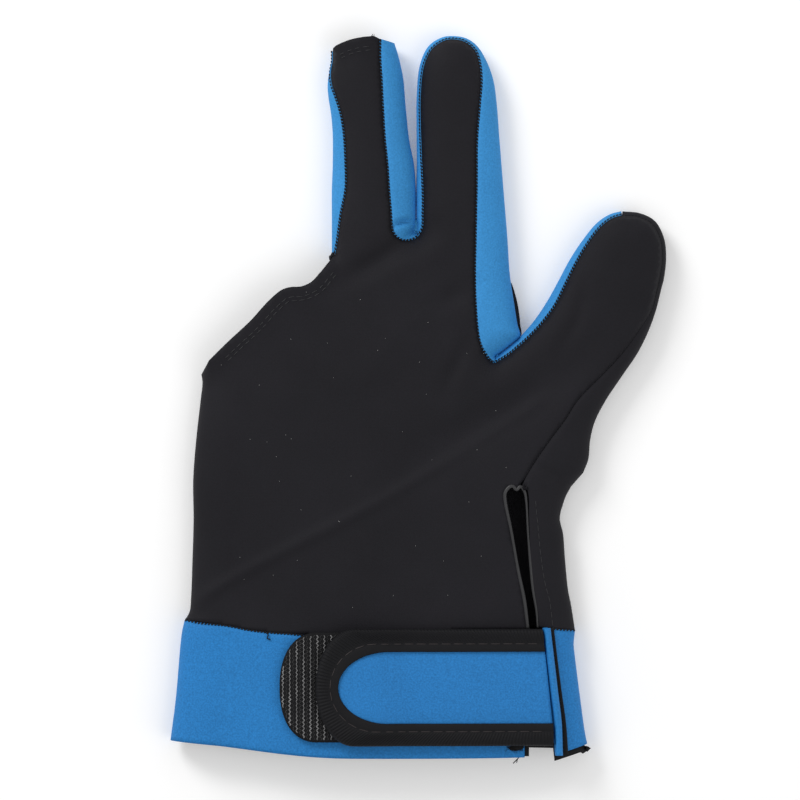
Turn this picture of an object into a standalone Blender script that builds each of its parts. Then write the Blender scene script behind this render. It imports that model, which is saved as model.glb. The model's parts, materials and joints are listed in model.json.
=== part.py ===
"""Billiard glove for the left hand, lying on its palm, seen from its back.

The back and palm are black stretch fabric, the sides of the fingers and thumb are
blue stretch gussets, and the wrist is a blue neoprene cuff with a closing strap.
+X runs to the thumb's side, +Y to the fingertips, +Z up. The origin is at the
bottom centre of the glove's box.
"""
import math
from collections import namedtuple

import bmesh
import bpy
import numpy as np
from mathutils import Matrix
from mathutils.geometry import delaunay_2d_cdt

for old in list(bpy.data.objects):
    bpy.data.objects.remove(old, do_unlink=True)

PARTS = bpy.data.collections.new("billiard_glove")
bpy.context.scene.collection.children.link(PARTS)

# Plan sizes
HAND_WIDTH = 0.112
HAND_LENGTH = 0.116
MIDDLE_WIDTH = 0.0253
MIDDLE_LENGTH = 0.061
INDEX_WIDTH = 0.0267
INDEX_LENGTH = 0.0612
THUMB_WIDTH = 0.0306
THUMB_LENGTH = 0.063
THUMB_ANGLE = 60.0
CUFF_HEIGHT = 0.037

# Strap and hook tab
STRAP_WIDTH = 0.0350
STRAP_LENGTH = 0.0700
STRAP_END_REACH = 0.0240
STRAP_DROP = 0.0003
STRAP_END_POWER = 2.0
STRAP_RISE_REACH = (0.002, 0.014)
BINDING_WIDTH = 0.0068
BINDING_TAPE = 0.0006
STRAP_CORE = 0.0015
TAB_REACH = 0.0108
TAB_END_REACH = 0.0198
TAB_END_POWER = 2.5
TAB_UNDERLAP = 0.0150
TAB_THICKNESS = 0.0015
FOLD_WIDTH = 0.0024

# Heights and walls
HAND_CROWN = 0.0130
CROWN_REACH = 0.0440
FINGER_CROWN = 0.0112
SIDE_HEIGHT = 0.0046
TOP_ROUND = 0.0110
UNDER_ROUND = 0.0066
FABRIC = 0.0011
NEOPRENE = 0.0025
LIP_WIDTH = 0.0008
LIP_THICKNESS = 0.0009
LIP_ARCH = 0.0016
GUSSET_UNDER_REACH = 0.0042
LEFT_UNDER_REACH = 0.0032
CLEARANCE = 0.0003
SEAM_GAP = 0.00045
UNDER_SEAM_GAP = 0.00068
PIECE_GAP = 0.00045

# Ends of the slit and of the palm panel, as shares of the hand's length
SLIT_TOP = 0.345
PALM_END = 0.004

# Mesh fineness: spacings, and shares of the way from a wall where the columns lie
ROW_SPACING = 0.0054
LATTICE_SPACING = 0.0080
FLAT_LATTICE = 0.0072
RIM_STEP = 0.0012
CUFF_ROWS = 8
CUFF_EDGE_SPACING = 0.0005
WALL_SHARES = (0.0, 0.05, 0.2, 0.5, 0.8, 1.0)
LEFT_TOP_SHARES = (0.0, 0.04, 0.15, 0.4, 0.7, 1.0)
CUFF_LEFT_SHARES = (0.65, 0.35, 0.15, 0.04)
CUFF_CORNER_SHARES = (0.003, 0.012, 0.03, 0.06)
CUFF_MIDDLE_SHARES = tuple(0.1 + 0.8 * step / 13 for step in range(14))
CUFF_RIGHT_SHARES = (0.04, 0.13, 0.28, 0.45, 0.63, 0.81, 1.0)
FOLD_SHARES = (0.0, 0.5, 1.0)

# Colours and roughness
BLACK = (0.016, 0.016, 0.018)
TAB_BLACK = (0.02, 0.02, 0.022)
GUSSET_BLUE = (0.045, 0.24, 0.52)
CUFF_BLUE = (0.022, 0.19, 0.49)
KNIT_ROUGHNESS = 0.8
HOOK_ROUGHNESS = 0.9
SATIN_ROUGHNESS = 0.4

Frame = namedtuple("Frame", "origin across along")
Row = namedtuple("Row", "wall_across wall_along seam_across seam_along")
Edge = namedtuple("Edge", "across along")
Strip = namedtuple("Strip", "wall seam")


def frame_of(origin, angle, width, length):
    """Axes of a finger or the hand: across times its width, along times its length."""
    turn = math.radians(angle)
    along = np.array([math.cos(turn), math.sin(turn)])
    across = np.array([along[1], -along[0]])
    return Frame(np.array(origin), across * width, along * length)


def place(frame, across, along):
    """Plan point at these shares of the frame's width and length."""
    return frame.origin + across * frame.across + along * frame.along


HAND = frame_of((0.0, 0.0), 90.0, HAND_WIDTH, HAND_LENGTH)
CREASE_FOOT = place(HAND, 0.597, 1.0)
THUMB_ROOT = place(HAND, 0.952, 0.585)
MIDDLE = frame_of(CREASE_FOOT, 90.0, MIDDLE_WIDTH, MIDDLE_LENGTH)
INDEX = frame_of(CREASE_FOOT, 90.0, INDEX_WIDTH, INDEX_LENGTH)
THUMB = frame_of(THUMB_ROOT, THUMB_ANGLE, THUMB_WIDTH, THUMB_LENGTH)

# Rows pair a point of the silhouette with a point of the seam on the back, as
# shares of the frame's width and length. They run clockwise round the glove.
MIDDLE_OUTER = [
    Row(-1.00, -0.07, -0.96, -0.07),
    Row(-1.00, 0.00, -0.93, 0.00),
    Row(-1.00, 0.12, -0.89, 0.12),
    Row(-1.00, 0.25, -0.83, 0.25),
    Row(-0.99, 0.37, -0.83, 0.37),
    Row(-0.99, 0.52, -0.85, 0.52),
    Row(-1.01, 0.62, -0.89, 0.62),
    Row(-1.04, 0.70, -0.95, 0.70),
    Row(-1.05, 0.76, -0.985, 0.76),
    Row(-1.03, 0.82, -0.98, 0.82),
    Row(-1.00, 0.88, -0.95, 0.875),
    Row(-1.00, 0.925, -0.95, 0.925),
]
MIDDLE_TIP = [
    Edge(-0.88, 0.963),
    Edge(-0.78, 0.980),
    Edge(-0.64, 0.992),
    Edge(-0.50, 0.998),
]
MIDDLE_INNER = [
    Row(-0.255, 0.966, -0.43, 0.985),
    Row(-0.20, 0.89, -0.43, 0.89),
    Row(-0.15, 0.79, -0.415, 0.79),
    Row(-0.125, 0.665, -0.40, 0.665),
    Row(-0.08, 0.49, -0.375, 0.49),
    Row(-0.024, 0.37, -0.345, 0.37),
    Row(-0.015, 0.245, -0.325, 0.245),
    Row(-0.015, 0.12, -0.30, 0.12),
]
CREASE = [
    Row(-0.013, 0.044, -0.27, 0.044),
    Row(-0.009, 0.037, -0.22, 0.010),
    Row(0.0, 0.034, -0.13, -0.007),
    Row(0.009, 0.037, -0.01, 0.005),
    Row(0.013, 0.044, 0.067, 0.049),
]
INDEX_ROUND = [
    Row(0.013, 0.12, 0.08, 0.13),
    Row(0.011, 0.245, 0.08, 0.245),
    Row(0.008, 0.37, 0.067, 0.37),
    Row(0.006, 0.54, 0.052, 0.54),
    Row(0.008, 0.71, 0.05, 0.71),
    Row(0.045, 0.86, 0.09, 0.855),
    Row(0.14, 0.95, 0.18, 0.935),
    Row(0.29, 0.993, 0.31, 0.975),
    Row(0.42, 1.0, 0.42, 0.983),
    Row(0.57, 0.988, 0.55, 0.97),
    Row(0.69, 0.95, 0.66, 0.93),
    Row(0.79, 0.88, 0.71, 0.87),
    Row(0.87, 0.785, 0.73, 0.785),
    Row(0.91, 0.66, 0.71, 0.66),
    Row(0.94, 0.49, 0.68, 0.49),
    Row(0.98, 0.27, 0.675, 0.27),
    Row(1.03, 0.0, 0.663, 0.0),
    Row(1.056, -0.17, 0.657, -0.17),
    Row(1.107, -0.32, 0.666, -0.32),
    Row(1.143, -0.417, 0.685, -0.43),
]
CROTCH_INDEX_SIDE = [
    Row(-0.578, 0.195, -0.879, 0.078),
    Row(-0.610, 0.154, -0.815, 0.052),
    Row(-0.642, 0.109, -0.749, 0.035),
    Row(-0.672, 0.068, -0.699, 0.024),
    Row(-0.669, 0.059, -0.662, 0.022),
    Row(-0.664, 0.053, -0.645, 0.024),
]
THUMB_INNER = [
    Row(-0.650, 0.061, -0.625, 0.032),
    Row(-0.612, 0.108, -0.560, 0.094),
    Row(-0.576, 0.154, -0.520, 0.148),
    Row(-0.549, 0.195, -0.490, 0.189),
    Row(-0.509, 0.295, -0.436, 0.290),
    Row(-0.494, 0.406, -0.408, 0.405),
    Row(-0.498, 0.515, -0.422, 0.517),
    Row(-0.506, 0.625, -0.436, 0.628),
    Row(-0.493, 0.739, -0.434, 0.736),
    Row(-0.454, 0.849, -0.405, 0.841),
    Row(-0.385, 0.915, -0.350, 0.902),
    Row(-0.307, 0.953, -0.285, 0.937),
]
THUMB_OUTER = [
    Row(-0.294, 0.956, -0.272, 0.940),
    Row(-0.136, 0.990, -0.129, 0.970),
    Row(0.031, 0.993, 0.020, 0.972),
    Row(0.191, 0.944, 0.162, 0.929),
    Row(0.306, 0.867, 0.272, 0.857),
    Row(0.387, 0.779, 0.344, 0.773),
    Row(0.420, 0.723, 0.385, 0.708),
    Row(0.476, 0.628, 0.438, 0.612),
    Row(0.516, 0.519, 0.427, 0.494),
    Row(0.530, 0.402, 0.399, 0.365),
    Row(0.511, 0.275, 0.332, 0.225),
    Row(0.492, 0.138, 0.250, 0.070),
    Row(0.502, 0.025, 0.238, -0.043),
    Row(0.553, -0.065, 0.209, -0.161),
    Row(0.634, -0.152, 0.186, -0.300),
    Row(0.655, -0.218, 0.184, -0.380),
]
WRIST_RIGHT = [
    Row(1.013, 0.360, 0.878, 0.359),
    Row(1.000, 0.337, 0.892, 0.357),
    Row(0.992, 0.316, 0.898, 0.334),
    Row(0.983, 0.280, 0.899, 0.288),
    Row(0.992, 0.236, 0.901, 0.223),
    Row(0.997, 0.171, 0.906, 0.153),
    Row(1.005, 0.093, 0.914, 0.088),
    Row(1.013, 0.054, 0.922, 0.039),
    Row(1.022, 0.002, 0.926, 0.006),
]
SLIT_LEFT = [
    Edge(0.868, 0.359),
    Edge(0.850, 0.363),
    Edge(0.832, 0.345),
    Edge(0.839, 0.295),
    Edge(0.848, 0.241),
    Edge(0.862, 0.179),
    Edge(0.873, 0.122),
    Edge(0.882, 0.067),
    Edge(0.891, 0.006),
]
WRIST_SEAM = [
    Edge(0.889, 0.004),
    Edge(0.609, -0.016),
    Edge(0.367, -0.028),
    Edge(0.260, -0.027),
    Edge(0.201, -0.021),
    Edge(0.153, -0.009),
    Edge(0.088, 0.003),
    Edge(0.019, 0.009),
    Edge(-0.023, 0.016),
]
LEFT_WALL = [
    Edge(-0.018, 0.022),
    Edge(-0.010, 0.038),
    Edge(-0.007, 0.067),
    Edge(-0.003, 0.171),
    Edge(0.000, 0.275),
    Edge(-0.001, 0.378),
    Edge(0.007, 0.482),
    Edge(0.019, 0.585),
    Edge(0.024, 0.632),
    Edge(0.021, 0.650),
]
SIDE_OPENING = [
    Edge(0.043, 0.687),
    Edge(0.097, 0.738),
    Edge(0.155, 0.790),
    Edge(0.201, 0.839),
    Edge(0.236, 0.868),
    Edge(0.260, 0.876),
    Edge(0.290, 0.878),
    Edge(0.319, 0.891),
    Edge(0.343, 0.917),
    Edge(0.362, 0.940),
]

# The cuff's sides and ends: shares of the hand's width across, and of the
# cuff's height down from the wrist seam.
CUFF_FRAME = Frame(np.zeros(2), HAND.across, np.array([0.0, -CUFF_HEIGHT]))
CUFF_LEFT = [
    Edge(-0.024, -0.045),
    Edge(-0.031, 0.05),
    Edge(-0.035, 0.15),
    Edge(-0.048, 0.60),
    Edge(-0.062, 0.93),
]
CUFF_BOTTOM = [
    Edge(-0.062, 0.93),
    Edge(0.019, 0.95),
    Edge(0.088, 0.975),
    Edge(0.260, 1.04),
    Edge(0.367, 1.065),
    Edge(0.501, 1.07),
    Edge(0.823, 1.065),
    Edge(0.895, 1.06),
]
CUFF_RIGHT = [
    Edge(1.024, 0.035),
    Edge(1.020, 0.15),
    Edge(1.023, 0.24),
    Edge(1.038, 0.60),
    Edge(1.051, 0.88),
    Edge(1.059, 0.99),
]
FOLD_LEFT_EDGE = [
    Edge(0.935, 0.010),
    Edge(0.944, 0.24),
    Edge(0.955, 0.52),
    Edge(0.965, 0.78),
    Edge(0.968, 1.02),
]


def smoothstep(low, high, value):
    """0 below low, 1 above high, with an eased run between."""
    share = np.clip((value - low) / (high - low), 0.0, 1.0)
    return share * share * (3.0 - 2.0 * share)


def curve_through(points, spacing):
    """Centripetal curve through points of any dimension, sampled about every spacing."""
    points = np.asarray(points, dtype=float)
    if len(points) < 3:
        return points
    ends = [2.0 * points[0] - points[1]], [2.0 * points[-1] - points[-2]]
    padded = np.concatenate([ends[0], points, ends[1]])
    result = [points[0]]
    for first in range(len(points) - 1):
        p0, p1, p2, p3 = padded[first:first + 4]
        t1 = np.linalg.norm(p1 - p0) ** 0.5
        t2 = t1 + np.linalg.norm(p2 - p1) ** 0.5
        t3 = t2 + np.linalg.norm(p3 - p2) ** 0.5
        half = points.shape[1] // 2 if points.shape[1] > 2 else 2
        chord = max(np.linalg.norm((p2 - p1)[:half]), np.linalg.norm((p2 - p1)[half:]))
        count = max(1, int(round(chord / spacing)))
        for step in range(1, count + 1):
            t = t1 + (t2 - t1) * step / count
            a1 = (t1 - t) / t1 * p0 + t / t1 * p1
            a2 = (t2 - t) / (t2 - t1) * p1 + (t - t1) / (t2 - t1) * p2
            a3 = (t3 - t) / (t3 - t2) * p2 + (t - t2) / (t3 - t2) * p3
            b1 = (t2 - t) / t2 * a1 + t / t2 * a2
            b2 = (t3 - t) / (t3 - t1) * a2 + (t - t1) / (t3 - t1) * a3
            result.append((t2 - t) / (t2 - t1) * b1 + (t - t1) / (t2 - t1) * b2)
    return np.array(result)


def strip_of(tables):
    """Fine rows of wall and seam points from tables of shares, each with its frame."""
    rows = []
    for frame, table in tables:
        for row in table:
            wall = place(frame, row.wall_across, row.wall_along)
            seam = place(frame, row.seam_across, row.seam_along)
            rows.append(np.concatenate([wall, seam]))
    fine = curve_through(rows, ROW_SPACING)
    return Strip(fine[:, :2], fine[:, 2:])


def edge_of(frame, table, spacing=ROW_SPACING):
    """Fine points along an edge given as shares of a frame."""
    return curve_through([place(frame, e.across, e.along) for e in table], spacing)


def inward(wall):
    """Unit directions from a clockwise wall towards the inside of the glove."""
    tangent = np.gradient(wall, axis=0)
    tangent /= np.linalg.norm(tangent, axis=1)[:, None]
    return np.stack([tangent[:, 1], -tangent[:, 0]], axis=1)


def seam_edge(seam, side):
    """Edge of the piece inside (1) or outside (-1) a seam, half the seam's gap from it."""
    return seam + inward(seam) * (side * 0.5 * SEAM_GAP)


middle_outer = strip_of([(MIDDLE, MIDDLE_OUTER)])
fingers = strip_of([(MIDDLE, MIDDLE_INNER), (INDEX, CREASE), (INDEX, INDEX_ROUND),
                    (THUMB, CROTCH_INDEX_SIDE)])
thumb_inner = strip_of([(THUMB, THUMB_INNER)])
thumb_outer = strip_of([(THUMB, THUMB_OUTER)])
wrist_right = strip_of([(HAND, WRIST_RIGHT)])
left_wall = edge_of(HAND, LEFT_WALL)
side_opening = edge_of(HAND, SIDE_OPENING)
middle_tip = edge_of(MIDDLE, MIDDLE_TIP)
slit_left = edge_of(HAND, SLIT_LEFT)
wrist_seam = edge_of(HAND, WRIST_SEAM)
cuff_left = edge_of(CUFF_FRAME, CUFF_LEFT)
cuff_right = edge_of(CUFF_FRAME, CUFF_RIGHT)

LEFT_INWARD = np.array([1.0, 0.0])
right_chain = np.concatenate([fingers.wall, thumb_inner.wall, thumb_outer.wall, wrist_right.wall])
right_inward = inward(right_chain)
thumb_tip = len(fingers.wall) + len(thumb_inner.wall)
right_inward[thumb_tip - 1:thumb_tip + 1] = right_inward[thumb_tip - 1:thumb_tip + 1].mean(0)
WALLS = [
    np.concatenate([cuff_left[::-1], left_wall]),
    middle_outer.wall,
    np.concatenate([right_chain, cuff_right]),
]


def wall_distance(points):
    """Distance of plan points from the glove's side walls; the mouths don't count."""
    best = np.full(len(points), np.inf)
    for wall in WALLS:
        start = wall[:-1]
        run = wall[1:] - start
        to_point = points[:, None, :] - start[None, :, :]
        share = (to_point * run).sum(2) / np.maximum((run * run).sum(1), 1e-18)
        nearest = to_point - np.clip(share, 0.0, 1.0)[:, :, None] * run
        best = np.minimum(best, np.sqrt((nearest * nearest).sum(2)).min(1))
    return best


def rounded(distance, reach):
    """Quarter-ellipse rise from 0 at the wall to 1 at the reach."""
    share = np.clip(distance / reach, 0.0, 1.0)
    return np.sqrt(np.maximum(1.0 - (1.0 - share) ** 2, 0.0))


def top_height(points):
    """Height of the back's outer face over the table."""
    distance = wall_distance(points)
    crown = FINGER_CROWN + (HAND_CROWN - FINGER_CROWN) * smoothstep(TOP_ROUND, CROWN_REACH, distance)
    return SIDE_HEIGHT + (crown - SIDE_HEIGHT) * rounded(distance, TOP_ROUND)


def under_height(points):
    """Height of the palm's outer face, flat on the table away from the walls."""
    return SIDE_HEIGHT * (1.0 - rounded(wall_distance(points), UNDER_ROUND))


def lifted(points, height):
    """3-D points from plan points and a height function or an array of heights."""
    z = height(points) if callable(height) else height
    return np.column_stack([points, z])


class Surface:
    """Open surface put together from grids and panels that share rows of points."""

    def __init__(self):
        self.mesh = bmesh.new()

    def grid(self, columns):
        """Quads between columns of 3-D points, whose rows run clockwise round the glove."""
        rows = [[self.mesh.verts.new(point) for point in column] for column in columns]
        for left, right in zip(rows[:-1], rows[1:]):
            for k in range(len(left) - 1):
                self.mesh.faces.new((left[k], left[k + 1], right[k + 1], right[k]))

    def panel(self, outline, height, facing_up, lattice=LATTICE_SPACING):
        """Triangles filling a plan outline, with a lattice of points inside it."""
        closed = np.concatenate([outline[-1:], outline, outline[:1]])
        rim = outline + inward(closed)[1:-1] * RIM_STEP
        rim = rim[edge_distance(rim, outline) > 0.8 * RIM_STEP]
        points = np.concatenate([outline, rim[inside_of(rim, outline)], lattice_inside(outline, lattice)])
        edges = [(k, (k + 1) % len(outline)) for k in range(len(outline))]
        found = delaunay_2d_cdt([tuple(p) for p in points], edges, [list(range(len(outline)))], 1, 1e-7)
        plan = np.array([tuple(p) for p in found[0]])
        verts = [self.mesh.verts.new(point) for point in lifted(plan, height)]
        for a, b, c in found[2]:
            turn = np.cross(plan[b] - plan[a], plan[c] - plan[a])
            order = (a, b, c) if (turn > 0) == facing_up else (a, c, b)
            self.mesh.faces.new([verts[k] for k in order])

    def finish(self, name, thickness, colour, roughness):
        """Object of this surface with its wall grown inward."""
        bmesh.ops.remove_doubles(self.mesh, verts=self.mesh.verts, dist=2e-6)
        data = bpy.data.meshes.new(name)
        self.mesh.to_mesh(data)
        self.mesh.free()
        piece = bpy.data.objects.new(name, data)
        wall = piece.modifiers.new("wall", "SOLIDIFY")
        wall.thickness = thickness
        wall.offset = -1.0
        add_part(piece, colour, roughness)
        return piece


def lattice_inside(outline, spacing):
    """Triangular lattice of points inside an outline, clear of its edge."""
    low, high = outline.min(0), outline.max(0)
    ys = np.arange(low[1], high[1], spacing * math.sqrt(0.75))
    found = []
    for number, y in enumerate(ys):
        xs = np.arange(low[0] + (number % 2) * 0.5 * spacing, high[0], spacing)
        found.append(np.column_stack([xs, np.full(len(xs), y)]))
    points = np.concatenate(found)
    clear = edge_distance(points, outline) > RIM_STEP + 0.4 * spacing
    return points[inside_of(points, outline) & clear]


def inside_of(points, outline):
    """Whether each plan point lies inside a closed outline."""
    start, end = outline, np.roll(outline, -1, axis=0)
    crosses = (start[None, :, 1] > points[:, None, 1]) != (end[None, :, 1] > points[:, None, 1])
    rise = np.where(end[:, 1] == start[:, 1], 1.0, end[:, 1] - start[:, 1])
    at_x = start[:, 0] + (points[:, None, 1] - start[:, 1]) * (end - start)[:, 0] / rise
    return (crosses & (points[:, None, 0] < at_x)).sum(1) % 2 == 1


def edge_distance(points, outline):
    """Distance of plan points from a closed outline."""
    run = np.roll(outline, -1, axis=0) - outline
    to_point = points[:, None, :] - outline[None, :, :]
    share = np.clip((to_point * run).sum(2) / (run * run).sum(1), 0.0, 1.0)
    return np.linalg.norm(to_point - share[:, :, None] * run, axis=2).min(1)


def material(name, colour, roughness):
    """Plain fabric of one colour."""
    made = bpy.data.materials.new(name)
    made.use_nodes = True
    shader = made.node_tree.nodes["Principled BSDF"]
    shader.inputs["Base Color"].default_value = (*colour, 1.0)
    shader.inputs["Roughness"].default_value = roughness
    shader.inputs["Metallic"].default_value = 0.0
    return made


def add_part(piece, colour, roughness):
    """Puts a piece in the glove's collection with a material of its own."""
    PARTS.objects.link(piece)
    piece.data.materials.append(material(piece.name + "_cloth", colour, roughness))
    piece.data.shade_smooth()
    piece.data.set_sharp_from_angle(angle=math.radians(40.0))


def wall_columns(start_plan, end_plan, shares, height):
    """Columns of 3-D points between two plan curves, at shares of the way."""
    return [lifted(start_plan + (end_plan - start_plan) * share, height) for share in shares]


def gusset(name, strip, direction):
    """Blue side strip: back seam, over the silhouette, to its seam under the hand."""
    seam = seam_edge(strip.seam, -1)
    under = strip.wall + direction * GUSSET_UNDER_REACH
    top = wall_columns(strip.wall, seam, WALL_SHARES, top_height)
    below = wall_columns(strip.wall, under, WALL_SHARES, under_height)
    surface = Surface()
    surface.grid(top[::-1] + below[1:])
    surface.finish(name, FABRIC, GUSSET_BLUE, KNIT_ROUGHNESS)


def back_panel():
    """Black fabric of the back, folded a little under the hand on its left side."""
    folded_top = left_wall + LEFT_INWARD * TOP_ROUND
    folded_under = left_wall + LEFT_INWARD * LEFT_UNDER_REACH
    shares = LEFT_TOP_SHARES
    opening_end = left_wall[-1] + LEFT_INWARD * TOP_ROUND * np.array(shares[-2::-1])[:, None]
    wrist = wrist_seam + np.array([0.0, 0.5 * SEAM_GAP])
    outline = np.concatenate([
        folded_top,
        opening_end,
        side_opening,
        seam_edge(middle_outer.seam, 1),
        middle_tip,
        seam_edge(fingers.seam, 1),
        seam_edge(thumb_inner.seam, 1),
        seam_edge(thumb_outer.seam, 1),
        slit_left,
        wrist[wrist[:, 0] > folded_top[0, 0] + CLEARANCE],
    ])
    surface = Surface()
    surface.panel(outline, top_height, True)
    top = wall_columns(left_wall, folded_top, shares, top_height)
    below = wall_columns(left_wall, folded_under, WALL_SHARES, under_height)
    surface.grid(top[::-1] + below[1:])
    surface.finish("back_panel", FABRIC, BLACK, KNIT_ROUGHNESS)


def palm_panel():
    """Black fabric of the palm, wrapped over the thumb's and wrist's right side."""
    gusset_reach = GUSSET_UNDER_REACH + UNDER_SEAM_GAP
    left_under = left_wall + LEFT_INWARD * (LEFT_UNDER_REACH + UNDER_SEAM_GAP)
    middle_under = middle_outer.wall + inward(middle_outer.wall) * gusset_reach
    gusset_under = right_chain[:thumb_tip] + right_inward[:thumb_tip] * gusset_reach
    wrap_wall = right_chain[thumb_tip:]
    wrap_under = wrap_wall + right_inward[thumb_tip:] * GUSSET_UNDER_REACH
    outline = np.concatenate([
        left_under, side_opening, middle_under, middle_tip, gusset_under, wrap_under,
        np.array([place(HAND, 0.5, PALM_END)]),
    ])
    surface = Surface()
    surface.panel(outline, under_height, False)
    lip = np.concatenate([thumb_outer.seam, wrist_right.seam])
    top = wall_columns(wrap_wall, seam_edge(lip, -1), WALL_SHARES, top_height)
    below = wall_columns(wrap_wall, wrap_under, WALL_SHARES, under_height)
    surface.grid(top[::-1] + below[1:])
    surface.finish("palm_panel", FABRIC, BLACK, KNIT_ROUGHNESS)


def slit_binding():
    """Satin tape sewn along both sides of the slit over the wrist."""
    inset = CLEARANCE + 0.5 * LIP_WIDTH
    left = slit_left[::-1] + inward(slit_left[::-1]) * inset
    right = wrist_right.seam - np.array([inset + 0.5 * SEAM_GAP, 0.0])
    base = float(place(HAND, 0.0, SLIT_TOP)[1]) - LIP_ARCH
    left = left[left[:, 1] < base - 0.5 * LIP_WIDTH]
    right = right[(right[:, 1] < base - 0.5 * LIP_WIDTH) & (right[:, 1] > left[0, 1])]
    turn = np.linspace(0.0, math.pi, 9)[:, None]
    half = 0.5 * (right[0] - left[-1]) * LEFT_INWARD
    middle = np.array([0.5 * (right[0, 0] + left[-1, 0]), base])
    arch = middle - half * np.cos(turn) + np.array([0.0, LIP_ARCH]) * np.sin(turn)
    path = np.concatenate([left, arch, right])
    side = inward(path) * LIP_WIDTH
    surface = Surface()
    surface.grid([lifted(path + side * (0.5 - share), top_height) for share in FOLD_SHARES])
    surface.finish("slit_binding", LIP_THICKNESS, TAB_BLACK, SATIN_ROUGHNESS)


def cuff():
    """Neoprene band round the wrist, open at the slit under the strap."""
    rows = np.linspace(0.0, 1.0, CUFF_ROWS)
    gap = np.array([0.0, -0.5 * SEAM_GAP])
    seam_top = wrist_seam[::-1] + gap
    bottom = edge_of(CUFF_FRAME, CUFF_BOTTOM, CUFF_EDGE_SPACING)
    bottom = np.column_stack([seam_top[:, 0], np.interp(seam_top[:, 0], bottom[:, 0], bottom[:, 1])])
    left_seam, left_end = cuff_left[0] + gap, cuff_left[-1]
    right_seam, right_end = cuff_right[0] + gap, cuff_right[-1]
    fold_top = place(CUFF_FRAME, *FOLD_LEFT_EDGE[0]) + gap
    fold_end = place(CUFF_FRAME, *FOLD_LEFT_EDGE[-1])

    def column(seam, end, height, wall=None):
        line = seam + (end - seam) * rows[:, None]
        if wall is not None:
            line = np.column_stack([np.interp(line[:, 1], *wall), line[:, 1]])
        return lifted(line, height)

    left_curve = (cuff_left[::-1, 1], cuff_left[::-1, 0])
    right_curve = (cuff_right[::-1, 1], cuff_right[::-1, 0])
    columns = []
    for seam, end in zip(seam_top[::-1], bottom[::-1]):
        if seam[0] > left_seam[0] + 0.8 * TOP_ROUND:
            columns.append(column(seam, end, top_height))
    left_start = columns[-1][0, :2], columns[-1][-1, :2]
    for share in CUFF_LEFT_SHARES:
        seam = left_seam + (left_start[0] - left_seam) * share
        end = left_end + (left_start[1] - left_end) * share
        columns.append(column(seam, end, top_height))
    columns.append(column(left_seam, left_end, SIDE_HEIGHT * np.ones(len(rows)), left_curve))
    far_corner = tuple(1.0 - share for share in CUFF_CORNER_SHARES[::-1])
    for share in CUFF_CORNER_SHARES + CUFF_MIDDLE_SHARES + far_corner:
        seam = left_seam + (right_seam - left_seam) * share
        end = left_end + (right_end - left_end) * share
        columns.append(column(seam, end, under_height))
    columns.append(column(right_seam, right_end, SIDE_HEIGHT * np.ones(len(rows)), right_curve))
    for share in CUFF_RIGHT_SHARES:
        seam = right_seam + (fold_top - right_seam) * share
        end = right_end + (fold_end - right_end) * share
        columns.append(column(seam, end, top_height))
    surface = Surface()
    surface.grid(columns[::-1])
    surface.finish("cuff", NEOPRENE, CUFF_BLUE, KNIT_ROUGHNESS)


fold_line = edge_of(CUFF_FRAME, FOLD_LEFT_EDGE)
STRAP_TOP = fold_line[0, 1] - STRAP_DROP
STRAP_AXIS = STRAP_TOP - 0.5 * STRAP_WIDTH
STRAP_TIP = float(np.interp(-STRAP_AXIS, -fold_line[:, 1], fold_line[:, 0])) - STRAP_LENGTH
TAB_TIP = STRAP_TIP - TAB_REACH
TAB_END = STRAP_TIP + TAB_UNDERLAP
STACK = 2.0 * BINDING_TAPE + 2.0 * CLEARANCE + STRAP_CORE


def end_outline(tip, reach, half_width, power, right_limit, steps=10):
    """Plan outline with a rounded left end, from its right end's top round to below."""
    turn = np.linspace(0.0, math.pi, 2 * steps + 1)
    x = tip + reach - reach * np.abs(np.sin(turn)) ** (2.0 / power)
    y = STRAP_AXIS + half_width * np.sign(np.cos(turn)) * np.abs(np.cos(turn)) ** (2.0 / power)
    arc = np.column_stack([x, y])
    top_end = np.array([right_limit(arc[0, 1]), arc[0, 1]])
    low_end = np.array([right_limit(arc[-1, 1]), arc[-1, 1]])
    count = max(2, int(round((top_end[0] - arc[0, 0]) / ROW_SPACING)))
    share = np.linspace(0.0, 1.0, count, endpoint=False)[:, None]
    top = top_end + (arc[0] - top_end) * share
    low = (low_end + (arc[-1] - low_end) * share)[::-1]
    return np.concatenate([top, arc, low])


def strap_lift(points):
    """Height of the strap's underside over the cuff, raised where it lies on the tab."""
    over_tab = TAB_THICKNESS + CLEARANCE
    ramp = smoothstep(TAB_END + STRAP_RISE_REACH[0], TAB_END + STRAP_RISE_REACH[1], points[:, 0])
    return PIECE_GAP + over_tab * (1.0 - ramp)


def root_limit(clear):
    """The strap's right end, a clearance short of the fold's left edge."""
    def limit(y):
        return float(np.interp(-y, -fold_line[:, 1], fold_line[:, 0])) - clear
    return limit


def hook_tab():
    """Knitted hook tab that lies on the cuff and reaches out past the strap's end."""
    outline = end_outline(TAB_TIP, TAB_END_REACH, 0.5 * STRAP_WIDTH, TAB_END_POWER, lambda y: TAB_END)
    surface = Surface()
    surface.panel(outline, lambda p: top_height(p) + PIECE_GAP + TAB_THICKNESS, True, FLAT_LATTICE)
    surface.finish("hook_tab", TAB_THICKNESS, TAB_BLACK, HOOK_ROUGHNESS)


def strap():
    """Blue neoprene core of the strap, held in its binding."""
    inset = BINDING_TAPE + CLEARANCE
    outline = end_outline(STRAP_TIP + inset, STRAP_END_REACH - inset, 0.5 * STRAP_WIDTH - inset,
                          STRAP_END_POWER, root_limit(2.0 * CLEARANCE))
    surface = Surface()
    surface.panel(outline, lambda p: top_height(p) + strap_lift(p) + STACK - inset, True, FLAT_LATTICE)
    surface.finish("strap", STRAP_CORE, CUFF_BLUE, KNIT_ROUGHNESS)


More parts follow.
